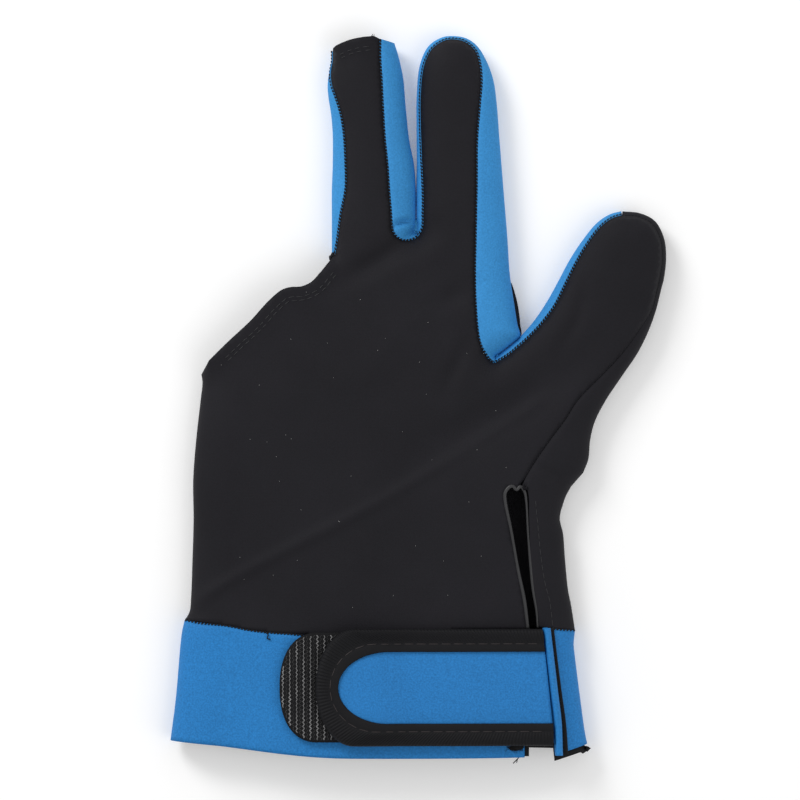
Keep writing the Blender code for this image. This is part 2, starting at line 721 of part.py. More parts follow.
def strap_binding():
    """Black tape folded over the strap's edge, above, beside and below it."""
    limit = root_limit(2.0 * CLEARANCE)
    path = end_outline(STRAP_TIP, STRAP_END_REACH, 0.5 * STRAP_WIDTH, STRAP_END_POWER, limit)
    direction = -inward(path)
    direction[0] = direction[-1] = (0.0, 0.0)
    direction[0, 1], direction[-1, 1] = -1.0, 1.0
    corner = 0.5 * BINDING_TAPE
    profile = [(BINDING_WIDTH, STACK), (corner, STACK), (0.0, STACK - corner),
               (0.0, corner), (corner, 0.0), (BINDING_WIDTH, 0.0)]
    columns = []
    for inset, rise in profile:
        plan = path + direction * inset
        plan[0, 0] = limit(plan[0, 1])
        plan[-1, 0] = limit(plan[-1, 1])
        columns.append(lifted(plan, top_height(plan) + strap_lift(plan) + rise))
    surface = Surface()
    surface.grid(columns[::-1])
    surface.finish("strap_binding", BINDING_TAPE, BLACK, KNIT_ROUGHNESS)


def cuff_fold():
    """Narrow blue fold of neoprene sewn down over the strap's root."""
    width = np.array([FOLD_WIDTH, 0.0])
    surface = Surface()
    surface.grid([lifted(fold_line + width * share, lambda p: top_height(p) + PIECE_GAP + STACK)
                  for share in FOLD_SHARES])
    surface.finish("cuff_fold", STACK, CUFF_BLUE, KNIT_ROUGHNESS)


def centre_on_table():
    """Moves every piece so that the glove's box stands with its bottom centre at the origin."""
    bpy.context.view_layer.update()
    graph = bpy.context.evaluated_depsgraph_get()
    corners = []
    for piece in PARTS.objects:
        found = piece.evaluated_get(graph).to_mesh()
        flat = np.empty(3 * len(found.vertices))
        found.vertices.foreach_get("co", flat)
        corners.append(flat.reshape(-1, 3))
    points = np.concatenate(corners)
    low, high = points.min(0), points.max(0)
    shift = (-0.5 * (low[0] + high[0]), -0.5 * (low[1] + high[1]), -low[2])
    for piece in PARTS.objects:
        piece.data.transform(Matrix.Translation(shift))


back_panel()
palm_panel()
gusset("gusset_middle_outer", middle_outer, inward(middle_outer.wall))
gusset("gusset_fingers", fingers, right_inward[:len(fingers.wall)])
gusset("gusset_thumb", thumb_inner, right_inward[len(fingers.wall):thumb_tip])
slit_binding()
cuff()
cuff_fold()
hook_tab()
strap()
strap_binding()
centre_on_table()
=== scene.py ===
import json
import math
from collections import namedtuple

import bpy
import numpy as np
from mathutils.geometry import delaunay_2d_cdt
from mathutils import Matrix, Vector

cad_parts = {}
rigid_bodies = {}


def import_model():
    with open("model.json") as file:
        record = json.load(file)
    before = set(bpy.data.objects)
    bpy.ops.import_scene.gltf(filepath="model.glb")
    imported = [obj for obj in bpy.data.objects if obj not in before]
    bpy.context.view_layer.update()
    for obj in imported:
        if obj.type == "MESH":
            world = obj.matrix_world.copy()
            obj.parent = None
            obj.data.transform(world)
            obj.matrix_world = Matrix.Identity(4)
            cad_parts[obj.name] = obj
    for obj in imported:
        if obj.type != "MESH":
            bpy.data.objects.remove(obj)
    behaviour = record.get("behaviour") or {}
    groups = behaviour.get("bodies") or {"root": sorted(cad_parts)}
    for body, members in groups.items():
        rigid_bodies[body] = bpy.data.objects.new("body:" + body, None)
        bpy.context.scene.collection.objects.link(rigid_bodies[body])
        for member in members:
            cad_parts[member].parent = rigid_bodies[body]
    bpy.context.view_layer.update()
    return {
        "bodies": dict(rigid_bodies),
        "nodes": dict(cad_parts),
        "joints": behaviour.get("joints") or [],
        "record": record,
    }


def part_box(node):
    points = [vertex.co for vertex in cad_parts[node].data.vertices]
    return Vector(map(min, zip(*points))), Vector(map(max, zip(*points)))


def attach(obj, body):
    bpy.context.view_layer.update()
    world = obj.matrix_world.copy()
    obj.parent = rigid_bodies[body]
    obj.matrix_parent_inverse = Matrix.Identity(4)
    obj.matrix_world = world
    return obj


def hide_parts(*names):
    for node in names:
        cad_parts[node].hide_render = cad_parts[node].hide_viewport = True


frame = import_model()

rng = np.random.default_rng(7)

# Palm panel: the black stretch fabric under the hand. It is cut to the glove's whole
# outline, and on the right it wraps up over the thumb's and the wrist's outer side,
# where it is sewn to the back. The outline, which every other piece follows, is set here.

Frame = namedtuple("Frame", "origin across along")
Row = namedtuple("Row", "wall_across wall_along seam_across seam_along")
Edge = namedtuple("Edge", "across along")
Strip = namedtuple("Strip", "wall seam")

HAND_WIDTH = 0.112
HAND_LENGTH = 0.116
INDEX_LENGTH = 0.0612
CUFF_HEIGHT = 0.037
CUFF_REACH = 0.062
HAND_ORIGIN = (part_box("cuff")[0].x + CUFF_REACH * HAND_WIDTH,
               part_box("gusset_fingers")[1].y - HAND_LENGTH - INDEX_LENGTH)
FABRIC = 0.0011
SEAM_GAP = 0.00012
ROW_SPACING = 0.0007
PALM_LATTICE = 0.0022


def frame_of(origin, angle, width, length):
    """Axes of a finger or the hand: across times its width, along times its length."""
    turn = math.radians(angle)
    along = np.array([math.cos(turn), math.sin(turn)])
    across = np.array([along[1], -along[0]])
    return Frame(np.array(origin), across * width, along * length)


def place(frame, across, along):
    """Plan point at these shares of the frame's width and length."""
    return frame.origin + across * frame.across + along * frame.along


HAND = frame_of(HAND_ORIGIN, 90.0, HAND_WIDTH, HAND_LENGTH)
CREASE_FOOT = place(HAND, 0.597, 1.0)
MIDDLE = frame_of(CREASE_FOOT, 90.0, 0.0253, 0.061)
INDEX = frame_of(CREASE_FOOT, 90.0, 0.0267, INDEX_LENGTH)
THUMB = frame_of(place(HAND, 0.952, 0.585), 60.0, 0.0306, 0.063)

# Rows pair a point of the silhouette with a point of the seam on the back, as
# shares of the frame's width and length. They run clockwise round the glove.
MIDDLE_OUTER = [
    Row(-1.00, -0.07, -0.96, -0.07),
    Row(-1.00, 0.00, -0.93, 0.00),
    Row(-1.00, 0.12, -0.89, 0.12),
    Row(-1.00, 0.25, -0.83, 0.25),
    Row(-0.99, 0.37, -0.83, 0.37),
    Row(-0.99, 0.52, -0.85, 0.52),
    Row(-1.01, 0.62, -0.89, 0.62),
    Row(-1.04, 0.70, -0.95, 0.70),
    Row(-1.05, 0.76, -1.000, 0.76),
    Row(-1.03, 0.82, -1.015, 0.82),
    Row(-1.00, 0.88, -0.992, 0.88),
    Row(-1.00, 0.925, -0.992, 0.925),
]
MIDDLE_TIP = [
    Edge(-0.985, 0.940),
    Edge(-0.955, 0.951),
    Edge(-0.88, 0.965),
    Edge(-0.78, 0.980),
    Edge(-0.64, 0.992),
    Edge(-0.50, 0.998),
]
MIDDLE_INNER = [
    Row(-0.255, 0.966, -0.43, 0.985),
    Row(-0.20, 0.89, -0.43, 0.89),
    Row(-0.15, 0.79, -0.415, 0.79),
    Row(-0.125, 0.665, -0.40, 0.665),
    Row(-0.08, 0.49, -0.375, 0.49),
    Row(-0.024, 0.37, -0.345, 0.37),
    Row(-0.0015, 0.245, -0.325, 0.245),
    Row(-0.0010, 0.12, -0.30, 0.12),
]
CREASE = [
    Row(-0.0010, 0.044, -0.27, 0.044),
    Row(-0.003, 0.037, -0.22, 0.010),
    Row(0.0, 0.034, -0.13, -0.007),
    Row(0.003, 0.037, -0.01, 0.005),
    Row(0.0010, 0.044, 0.067, 0.049),
]
INDEX_ROUND = [
    Row(0.0010, 0.12, 0.08, 0.13),
    Row(0.0015, 0.245, 0.08, 0.245),
    Row(0.008, 0.37, 0.067, 0.37),
    Row(0.006, 0.54, 0.052, 0.54),
    Row(0.008, 0.71, 0.05, 0.71),
    Row(0.045, 0.86, 0.09, 0.855),
    Row(0.14, 0.95, 0.18, 0.935),
    Row(0.29, 0.993, 0.31, 0.975),
    Row(0.42, 1.0, 0.42, 0.983),
    Row(0.57, 0.988, 0.55, 0.97),
    Row(0.69, 0.95, 0.66, 0.93),
    Row(0.79, 0.88, 0.71, 0.87),
    Row(0.87, 0.785, 0.73, 0.785),
    Row(0.91, 0.66, 0.71, 0.66),
    Row(0.94, 0.49, 0.68, 0.49),
    Row(0.98, 0.27, 0.675, 0.27),
    Row(1.03, 0.0, 0.663, 0.0),
    Row(1.056, -0.17, 0.657, -0.17),
    Row(1.107, -0.32, 0.666, -0.32),
    Row(1.143, -0.417, 0.685, -0.43),
]
CROTCH_INDEX_SIDE = [
    Row(-0.5495, 0.195, -0.879, 0.078),
    Row(-0.5765, 0.154, -0.815, 0.052),
    Row(-0.6125, 0.108, -0.749, 0.035),
    Row(-0.6435, 0.074, -0.699, 0.024),
    Row(-0.6560, 0.061, -0.662, 0.022),
    Row(-0.6610, 0.056, -0.645, 0.024),
]
THUMB_INNER = [
    Row(-0.662, 0.055, -0.636, 0.026),
    Row(-0.612, 0.108, -0.560, 0.094),
    Row(-0.576, 0.154, -0.520, 0.148),
    Row(-0.549, 0.195, -0.490, 0.189),
    Row(-0.509, 0.295, -0.436, 0.290),
    Row(-0.494, 0.406, -0.408, 0.405),
    Row(-0.498, 0.515, -0.422, 0.517),
    Row(-0.506, 0.625, -0.436, 0.628),
    Row(-0.493, 0.739, -0.434, 0.736),
    Row(-0.454, 0.849, -0.405, 0.841),
    Row(-0.385, 0.915, -0.350, 0.902),
    Row(-0.307, 0.953, -0.285, 0.937),
]
THUMB_OUTER = [
    Row(-0.294, 0.956, -0.272, 0.940),
    Row(-0.136, 0.990, -0.129, 0.970),
    Row(0.031, 0.993, 0.020, 0.972),
    Row(0.191, 0.944, 0.162, 0.929),
    Row(0.306, 0.867, 0.272, 0.857),
    Row(0.387, 0.779, 0.344, 0.773),
    Row(0.420, 0.723, 0.385, 0.708),
    Row(0.476, 0.628, 0.438, 0.612),
    Row(0.516, 0.519, 0.427, 0.494),
    Row(0.530, 0.402, 0.399, 0.365),
    Row(0.511, 0.275, 0.332, 0.225),
    Row(0.492, 0.138, 0.250, 0.070),
    Row(0.502, 0.025, 0.238, -0.043),
    Row(0.553, -0.065, 0.209, -0.161),
    Row(0.634, -0.152, 0.186, -0.300),
    Row(0.655, -0.218, 0.184, -0.380),
]
WRIST_RIGHT = [
    Row(1.013, 0.360, 0.878, 0.359),
    Row(1.000, 0.337, 0.892, 0.357),
    Row(0.992, 0.316, 0.898, 0.334),
    Row(0.983, 0.280, 0.899, 0.288),
    Row(0.992, 0.236, 0.901, 0.223),
    Row(0.997, 0.171, 0.906, 0.153),
    Row(1.005, 0.093, 0.914, 0.088),
    Row(1.013, 0.054, 0.922, 0.039),
    Row(1.0235, -0.0105, 0.926, -0.002),
]
SLIT_LEFT = [
    Edge(0.868, 0.359),
    Edge(0.850, 0.363),
    Edge(0.832, 0.345),
    Edge(0.839, 0.295),
    Edge(0.848, 0.241),
    Edge(0.862, 0.179),
    Edge(0.873, 0.122),
    Edge(0.882, 0.067),
    Edge(0.891, 0.004),
    Edge(0.892, -0.008),
]
WRIST_SEAM = [
    Edge(0.889, -0.010),
    Edge(0.609, -0.016),
    Edge(0.367, -0.026),
    Edge(0.260, -0.0185),
    Edge(0.201, -0.0145),
    Edge(0.153, -0.009),
    Edge(0.088, 0.003),
    Edge(0.019, 0.009),
    Edge(-0.023, 0.016),
]
LEFT_WALL = [
    Edge(-0.018, 0.022),
    Edge(-0.010, 0.038),
    Edge(-0.007, 0.067),
    Edge(-0.003, 0.171),
    Edge(0.000, 0.275),
    Edge(-0.001, 0.378),
    Edge(0.007, 0.482),
    Edge(0.019, 0.585),
    Edge(0.024, 0.632),
    Edge(0.021, 0.650),
]
SIDE_OPENING = [
    Edge(0.043, 0.687),
    Edge(0.097, 0.738),
    Edge(0.155, 0.790),
    Edge(0.201, 0.839),
    Edge(0.236, 0.868),
    Edge(0.260, 0.876),
    Edge(0.290, 0.878),
    Edge(0.319, 0.891),
    Edge(0.343, 0.917),
    Edge(0.362, 0.940),
]
CUFF_FRAME = Frame(np.array(HAND_ORIGIN), HAND.across, np.array([0.0, -CUFF_HEIGHT]))
CUFF_LEFT = [
    Edge(-0.024, -0.045),
    Edge(-0.031, 0.05),
    Edge(-0.035, 0.15),
    Edge(-0.048, 0.60),
    Edge(-0.062, 0.93),
]
CUFF_RIGHT = [
    Edge(1.024, 0.035),
    Edge(1.020, 0.15),
    Edge(1.023, 0.24),
    Edge(1.038, 0.60),
    Edge(1.051, 0.88),
    Edge(1.059, 0.99),
]


def curve_through(points, spacing):
    """Centripetal curve through the points, of any dimension, by the Barry-Goldman blend
    of each four neighbours, with even steps of about the spacing between two points."""
    points = np.asarray(points, dtype=float)
    padded = np.vstack([2.0 * points[0] - points[1], points, 2.0 * points[-1] - points[-2]])
    half = points.shape[1] // 2 if points.shape[1] > 3 else points.shape[1]
    found = [points[:1]]
    for first in range(len(points) - 1):
        p0, p1, p2, p3 = padded[first:first + 4]
        t1, t2, t3 = np.cumsum([np.linalg.norm(q - p) ** 0.5 for p, q in ((p0, p1), (p1, p2), (p2, p3))])
        chord = max(np.linalg.norm((p2 - p1)[:half]), np.linalg.norm((p2 - p1)[half:]))
        count = max(1, int(round(chord / spacing)))
        t = (t1 + (t2 - t1) * np.arange(1, count + 1) / count)[:, None]
        a1 = (t1 - t) / t1 * p0 + t / t1 * p1
        a2 = (t2 - t) / (t2 - t1) * p1 + (t - t1) / (t2 - t1) * p2
        a3 = (t3 - t) / (t3 - t2) * p2 + (t - t2) / (t3 - t2) * p3
        b1 = (t2 - t) / t2 * a1 + t / t2 * a2
        b2 = (t3 - t) / (t3 - t1) * a2 + (t - t1) / (t3 - t1) * a3
        found.append((t2 - t) / (t2 - t1) * b1 + (t - t1) / (t2 - t1) * b2)
    return np.concatenate(found)


def strip_of(tables):
    """Fine rows of wall and seam points from tables of shares, each with its frame."""
    rows = [np.concatenate([place(frame, row.wall_across, row.wall_along),
                            place(frame, row.seam_across, row.seam_along)])
            for frame, table in tables for row in table]
    fine = curve_through(rows, ROW_SPACING)
    return Strip(fine[:, :2], fine[:, 2:])


def edge_of(frame, table, spacing=ROW_SPACING):
    """Fine points along an edge given as shares of a frame."""
    return curve_through([place(frame, e.across, e.along) for e in table], spacing)


def inward(wall):
    """Unit directions from a clockwise line towards the inside of the glove."""
    tangent = np.gradient(wall, axis=0)
    tangent /= np.linalg.norm(tangent, axis=1)[:, None]
    return np.stack([tangent[:, 1], -tangent[:, 0]], axis=1)


def line_distance(points, lines):
    """Least distance of plan points from any of the open lines, in blocks of points."""
    start = np.concatenate([line[:-1] for line in lines])
    run = np.concatenate([line[1:] - line[:-1] for line in lines])
    length = np.maximum((run * run).sum(1), 1e-16)
    best = []
    for block in np.array_split(points, max(1, len(points) // 3000)):
        to_point = block[:, None, :] - start
        share = np.clip((to_point * run).sum(2) / length, 0.0, 1.0)
        gap = to_point - share[:, :, None] * run
        best.append(np.sqrt((gap * gap).sum(2).min(1)))
    return np.concatenate(best)


middle_outer = strip_of([(MIDDLE, MIDDLE_OUTER)])
fingers = strip_of([(MIDDLE, MIDDLE_INNER), (INDEX, CREASE), (INDEX, INDEX_ROUND),
                    (THUMB, CROTCH_INDEX_SIDE)])
thumb_inner = strip_of([(THUMB, THUMB_INNER)])
thumb_outer = strip_of([(THUMB, THUMB_OUTER)])
wrist_right = strip_of([(HAND, WRIST_RIGHT)])
left_wall = edge_of(HAND, LEFT_WALL)
side_opening = edge_of(HAND, SIDE_OPENING)
middle_tip = edge_of(MIDDLE, MIDDLE_TIP)
slit_left = edge_of(HAND, SLIT_LEFT)
wrist_seam = edge_of(HAND, WRIST_SEAM)
cuff_left = edge_of(CUFF_FRAME, CUFF_LEFT)
cuff_right = edge_of(CUFF_FRAME, CUFF_RIGHT)

right_chain = np.concatenate([fingers.wall, thumb_inner.wall, thumb_outer.wall, wrist_right.wall])
thumb_tip = len(fingers.wall) + len(thumb_inner.wall)
right_inward = inward(right_chain)
SEAM_LINES = [middle_outer.seam, fingers.seam, thumb_inner.seam, thumb_outer.seam]
MOUTHS = [np.concatenate([left_wall[-1:], side_opening, middle_outer.wall[:1]]),
          np.concatenate([middle_outer.wall[-1:], middle_tip, fingers.wall[:1]])]
WALLS = [np.concatenate([cuff_left[::-1], left_wall]), middle_outer.wall,
         np.concatenate([right_chain, cuff_right])]

HAND_CROWN = 0.0130
FINGER_CROWN = 0.0112
SIDE_HEIGHT = 0.0046
TOP_ROUND = 0.0110
UNDER_ROUND = 0.0066


def smoothstep(low, high, value):
    """0 below low, 1 above high, with an eased run between."""
    share = np.clip((value - low) / (high - low), 0.0, 1.0)
    return share * share * (3.0 - 2.0 * share)


def bell(distance, width):
    """Smooth bump of height 1 that fades over the width."""
    return np.exp(-(distance / width) ** 2)


def rounded(distance, reach):
    """Quarter-ellipse rise from 0 at the wall to 1 at the reach."""
    share = np.clip(distance / reach, 0.0, 1.0)
    return np.sqrt(np.maximum(1.0 - (1.0 - share) ** 2, 0.0))


def under_height(points):
    """Height of the palm's outer face: a quarter ellipse down to the table."""
    return SIDE_HEIGHT * (1.0 - rounded(line_distance(points, WALLS), UNDER_ROUND))


def crown_height(points):
    """Height of the back without folds: a quarter ellipse up to the hand's crown."""
    distance = line_distance(points, WALLS)
    crown = FINGER_CROWN + (HAND_CROWN - FINGER_CROWN) * smoothstep(TOP_ROUND, 4.0 * TOP_ROUND, distance)
    return SIDE_HEIGHT + (crown - SIDE_HEIGHT) * rounded(distance, TOP_ROUND)


# Tucks in the gussets and folds in the back: a line of shares of the hand, its width and
# its height, negative for a valley.
Fold = namedtuple("Fold", "line width rise")
TUCKS = [
    Fold([(0.536, 1.034), (0.560, 1.045), (0.594, 1.046)], 0.0007, -0.0022),
    Fold([(0.599, 1.037), (0.588, 1.023), (0.577, 1.010)], 0.0007, -0.0020),
    Fold([(0.800, 0.690), (0.815, 0.697), (0.826, 0.702)], 0.0005, -0.0007),
]
FOLDS = [
    Fold([(0.640, 1.030), (0.560, 0.985), (0.501, 0.948), (0.367, 0.878)], 0.0032, -0.0020),
    Fold([(0.751, 0.878), (0.643, 0.826)], 0.0030, -0.0015),
    Fold([(0.751, 0.767), (0.670, 0.604)], 0.0024, -0.0012),
    Fold([(1.091, 0.723), (0.858, 0.567), (0.643, 0.456), (0.536, 0.386)], 0.0065, -0.0024),
    Fold([(0.949, 0.593), (0.769, 0.482), (0.525, 0.337), (0.099, 0.119), (0.003, 0.057)], 0.0018, 0.0008),
    Fold([(1.051, 0.889), (1.029, 0.793), (0.976, 0.707)], 0.0020, -0.0009),
    Fold([(0.912, 0.422), (1.019, 0.360)], 0.0010, -0.0005),
    Fold([(0.30, 0.86), (0.22, 0.60), (0.20, 0.35)], 0.0090, 0.0010),
    Fold([(0.52, 0.30), (0.40, 0.10)], 0.0080, 0.0009),
]
HEM_DEPTH = 0.0040
HEM_RISE = 0.00035
HEM_GROOVE = 0.00022
SEAM_DIP = 0.00045
SEAM_DIP_WIDTH = 0.0009


def folded(points, height, folds):
    """Heights with each fold added: a bell across its line, softer towards its ends."""
    for fold in folds:
        line = curve_through([place(HAND, *share) for share in fold.line], 0.002)
        length = line_distance(points, [line])
        ends = np.minimum(np.linalg.norm(points - line[0], axis=1), np.linalg.norm(points - line[-1], axis=1))
        taper = 0.35 + 0.65 * smoothstep(0.0, 4.0 * fold.width, ends)
        height = height + fold.rise * bell(length, fold.width) * taper
    return height


def back_height(points):
    """Height of the back's outer face: the folded crown, plus the raised hems along the
    mouths with a groove along their stitches, minus a small dip along each seam."""
    height = folded(points, crown_height(points), FOLDS)
    mouth = line_distance(points, MOUTHS)
    height += HEM_RISE * (1.0 - smoothstep(HEM_DEPTH - 0.0006, HEM_DEPTH + 0.0004, mouth))
    height -= HEM_GROOVE * bell(mouth - HEM_DEPTH + 0.0007, 0.0004)
    return height - SEAM_DIP * bell(line_distance(points, SEAM_LINES), SEAM_DIP_WIDTH)


def lifted(points, height):
    """3-D points from plan points and a height function or an array of heights."""
    return np.column_stack([points, height(points) if callable(height) else height])


def seam_edge(seam, side, gap=SEAM_GAP):
    """Edge of the piece inside (1) or outside (-1) a seam, half the seam's gap from it."""
    return seam + inward(seam) * (side * 0.5 * gap)


def inside_of(points, outline):
    """Whether each plan point lies inside a closed outline, by counting crossings."""
    start, end = outline, np.roll(outline, -1, axis=0)
    rise = np.where(end[:, 1] == start[:, 1], 1.0, end[:, 1] - start[:, 1])
    found = []
    for block in np.array_split(points, max(1, len(points) // 3000)):
        crosses = (start[:, 1] > block[:, None, 1]) != (end[:, 1] > block[:, None, 1])
        at_x = start[:, 0] + (block[:, None, 1] - start[:, 1]) * (end - start)[:, 0] / rise
        found.append((crosses & (block[:, None, 0] < at_x)).sum(1) % 2 == 1)
    return np.concatenate(found)


def grid_part(columns):
    """Vertices and quads between columns of 3-D points whose rows run clockwise."""
    rows, count = len(columns[0]), len(columns)
    index = np.arange(rows * count).reshape(count, rows)
    quads = np.stack([index[:-1, :-1], index[:-1, 1:], index[1:, 1:], index[1:, :-1]], axis=-1)
    return np.concatenate(columns), quads.reshape(-1, 4)


def panel_part(outline, height, facing_up, lattice):
    """Vertices and triangles of a plan outline filled with a triangular lattice, raised
    by the height function."""
    low, high = outline.min(0), outline.max(0)
    x, y = np.meshgrid(np.arange(low[0], high[0], lattice), np.arange(low[1], high[1], lattice * 0.866))
    x = x + 0.5 * lattice * (np.arange(len(y)) % 2)[:, None]
    points = np.column_stack([x.ravel(), y.ravel()])
    closed = np.concatenate([outline, outline[:1]])
    points = points[inside_of(points, outline)]
    points = points[line_distance(points, [closed]) > 0.55 * lattice]
    every = np.concatenate([outline, points])
    edges = [(k, (k + 1) % len(outline)) for k in range(len(outline))]
    found = delaunay_2d_cdt([tuple(p) for p in every], edges, [list(range(len(outline)))], 1, 1e-7)
    plan = np.array([tuple(p) for p in found[0]])
    faces = np.array([tuple(f) for f in found[2]])
    a, b, c = plan[faces[:, 0]], plan[faces[:, 1]], plan[faces[:, 2]]
    turn = (b - a)[:, 0] * (c - a)[:, 1] - (b - a)[:, 1] * (c - a)[:, 0]
    wrong = (turn > 0) != facing_up
    faces[wrong] = faces[wrong][:, ::-1]
    return lifted(plan, height), faces


def cloth(name, parts, thickness, materials, replaces, rim=0):
    """Piece made of grid and panel parts, merged where they share points, with its wall
    grown inward. rim is the material number of the wall's inner face and cut edge."""
    verts, faces, count = [], [], 0
    for points, found in parts:
        faces += (found + count).tolist()
        verts.append(points)
        count += len(points)
    data = bpy.data.meshes.new(name)
    data.from_pydata(np.concatenate(verts), [], faces)
    piece = bpy.data.objects.new(name, data)
    bpy.context.scene.collection.objects.link(piece)
    weld = piece.modifiers.new("weld", "WELD")
    weld.merge_threshold = 0.000004
    wall = piece.modifiers.new("wall", "SOLIDIFY")
    wall.thickness = thickness
    wall.offset = -1.0
    wall.material_offset = rim
    wall.material_offset_rim = rim
    data.polygons.foreach_set("use_smooth", np.ones(len(data.polygons), dtype=bool))
    for made in materials:
        data.materials.append(made)
    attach(piece, "root")
    if replaces:
        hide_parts(replaces)
    return piece


def laid(piece):
    """Reads the area of each face of the cloth piece into an array and does nothing more with it."""
    areas = np.empty(len(piece.data.polygons))
    piece.data.polygons.foreach_get("area", areas)


WALL_SHARES = np.sin(np.linspace(0.0, 0.5 * math.pi, 21)) ** 3
GUSSET_UNDER = 0.0042
LEFT_INWARD = np.array([1.0, 0.0])
LEFT_UNDER = 0.0032


def columns_between(start, end, height, shares=WALL_SHARES):
    """Columns of 3-D points between two plan lines, crowded towards the first."""
    return [lifted(start + (end - start) * share, height) for share in shares]


def shader_group(name, inputs, outputs):
    """New shader node group with its sockets, and its input and output nodes."""
    group = bpy.data.node_groups.new(name, "ShaderNodeTree")
    for label, kind, value in inputs:
        group.interface.new_socket(label, in_out="INPUT", socket_type=kind).default_value = value
    for label, kind in outputs:
        group.interface.new_socket(label, in_out="OUTPUT", socket_type=kind)
    return group, group.nodes.new("NodeGroupInput"), group.nodes.new("NodeGroupOutput")


def add_node(tree, kind, settings=(), values=(), links=()):
    """Node with its settings, socket values and incoming links set."""
    made = tree.nodes.new(kind)
    for key, value in settings:
        setattr(made, key, value)
    for key, value in values:
        made.inputs[key].default_value = value
    for key, source in links:
        tree.links.new(source, made.inputs[key])
    return made


def knit_group():
    """Fine knit: two crossed waves of the pitch, turned into a normal and a shade."""
    group, enter, leave = shader_group(
        "knit", [("Scale", "NodeSocketFloat", 700.0), ("Depth", "NodeSocketFloat", 0.00004)],
        [("Normal", "NodeSocketVector"), ("Shade", "NodeSocketFloat")])
    place_of = add_node(group, "ShaderNodeTexCoord").outputs["Object"]
    bands = [add_node(group, "ShaderNodeTexWave", [("bands_direction", axis)],
                      [("Distortion", 1.5), ("Detail", 1.0), ("Detail Scale", 0.6)],
                      [("Vector", place_of), ("Scale", enter.outputs["Scale"])]) for axis in "XY"]
    both = add_node(group, "ShaderNodeMath", [("operation", "MULTIPLY")], [],
                    [(0, bands[0].outputs["Fac"]), (1, bands[1].outputs["Fac"])])
    bump = add_node(group, "ShaderNodeBump", [], [("Strength", 0.6)],
                    [("Height", both.outputs[0]), ("Distance", enter.outputs["Depth"])])
    group.links.new(bump.outputs["Normal"], leave.inputs["Normal"])
    group.links.new(both.outputs[0], leave.inputs["Shade"])
    return group


def mottle_group():
    """Shade near 1 that a fine grain and slow clouds move up and down by their amounts."""
    group, enter, leave = shader_group(
        "mottle", [("Grain", "NodeSocketFloat", 0.1), ("Cloud", "NodeSocketFloat", 0.1)],
        [("Shade", "NodeSocketFloat")])
    place_of = add_node(group, "ShaderNodeTexCoord").outputs["Object"]
    shade = None
    for label, scale, detail in (("Grain", 1900.0, 2.0), ("Cloud", 45.0, 3.0)):
        noise = add_node(group, "ShaderNodeTexNoise", [], [("Scale", scale), ("Detail", detail)],
                         [("Vector", place_of)])
        centred = add_node(group, "ShaderNodeMath", [("operation", "SUBTRACT")], [(1, 0.5)],
                           [(0, noise.outputs["Fac"])])
        links = [(0, centred.outputs[0]), (1, enter.outputs[label])]
        links += [(2, shade)] if shade else []
        shade = add_node(group, "ShaderNodeMath", [("operation", "MULTIPLY_ADD")],
                         [] if len(links) > 2 else [(2, 1.0)], links).outputs[0]
    group.links.new(shade, leave.inputs["Shade"])
    return group


KNIT = knit_group()
MOTTLE = mottle_group()


def fabric(name, colour, roughness, grain=0.5, cloud=0.2, scale=700.0, depth=0.00003, specular=0.15):
    """Cloth material: its colour times the mottled shade, with a fine knit in the normal."""
    made = bpy.data.materials.new(name)
    made.use_nodes = True
    tree = made.node_tree
    shader = tree.nodes["Principled BSDF"]
    shade = add_node(tree, "ShaderNodeGroup", [("node_tree", MOTTLE)], [("Grain", grain), ("Cloud", cloud)])
    knit = add_node(tree, "ShaderNodeGroup", [("node_tree", KNIT)], [("Scale", scale), ("Depth", depth)])
    tint = add_node(tree, "ShaderNodeVectorMath", [("operation", "SCALE")], [(0, colour)],
                    [("Scale", shade.outputs["Shade"])])
    tree.links.new(tint.outputs["Vector"], shader.inputs["Base Color"])
    tree.links.new(knit.outputs["Normal"], shader.inputs["Normal"])
    shader.inputs["Roughness"].default_value = roughness
    shader.inputs["Specular IOR Level"].default_value = specular
    return made


black_knit = fabric("black_knit", (0.0128, 0.0122, 0.0155), 0.7, 0.35, 0.5)

wrap_wall = right_chain[thumb_tip:]
wrap_under = wrap_wall + right_inward[thumb_tip:] * GUSSET_UNDER
palm_outline = np.concatenate([
    left_wall + LEFT_INWARD * LEFT_UNDER,
    side_opening,
    middle_outer.wall + inward(middle_outer.wall) * GUSSET_UNDER,
    middle_tip,
    right_chain[:thumb_tip] + right_inward[:thumb_tip] * GUSSET_UNDER,
    wrap_under,
    np.linspace(cuff_right[0], cuff_left[0] + LEFT_INWARD * LEFT_UNDER, 6)[1:] + [0.0, SEAM_GAP],
])
wrap_lip = seam_edge(np.concatenate([thumb_outer.seam, wrist_right.seam]), -1)
wrap_columns = (columns_between(wrap_wall, wrap_lip, back_height)[::-1]
                + columns_between(wrap_wall, wrap_under, under_height)[1:])

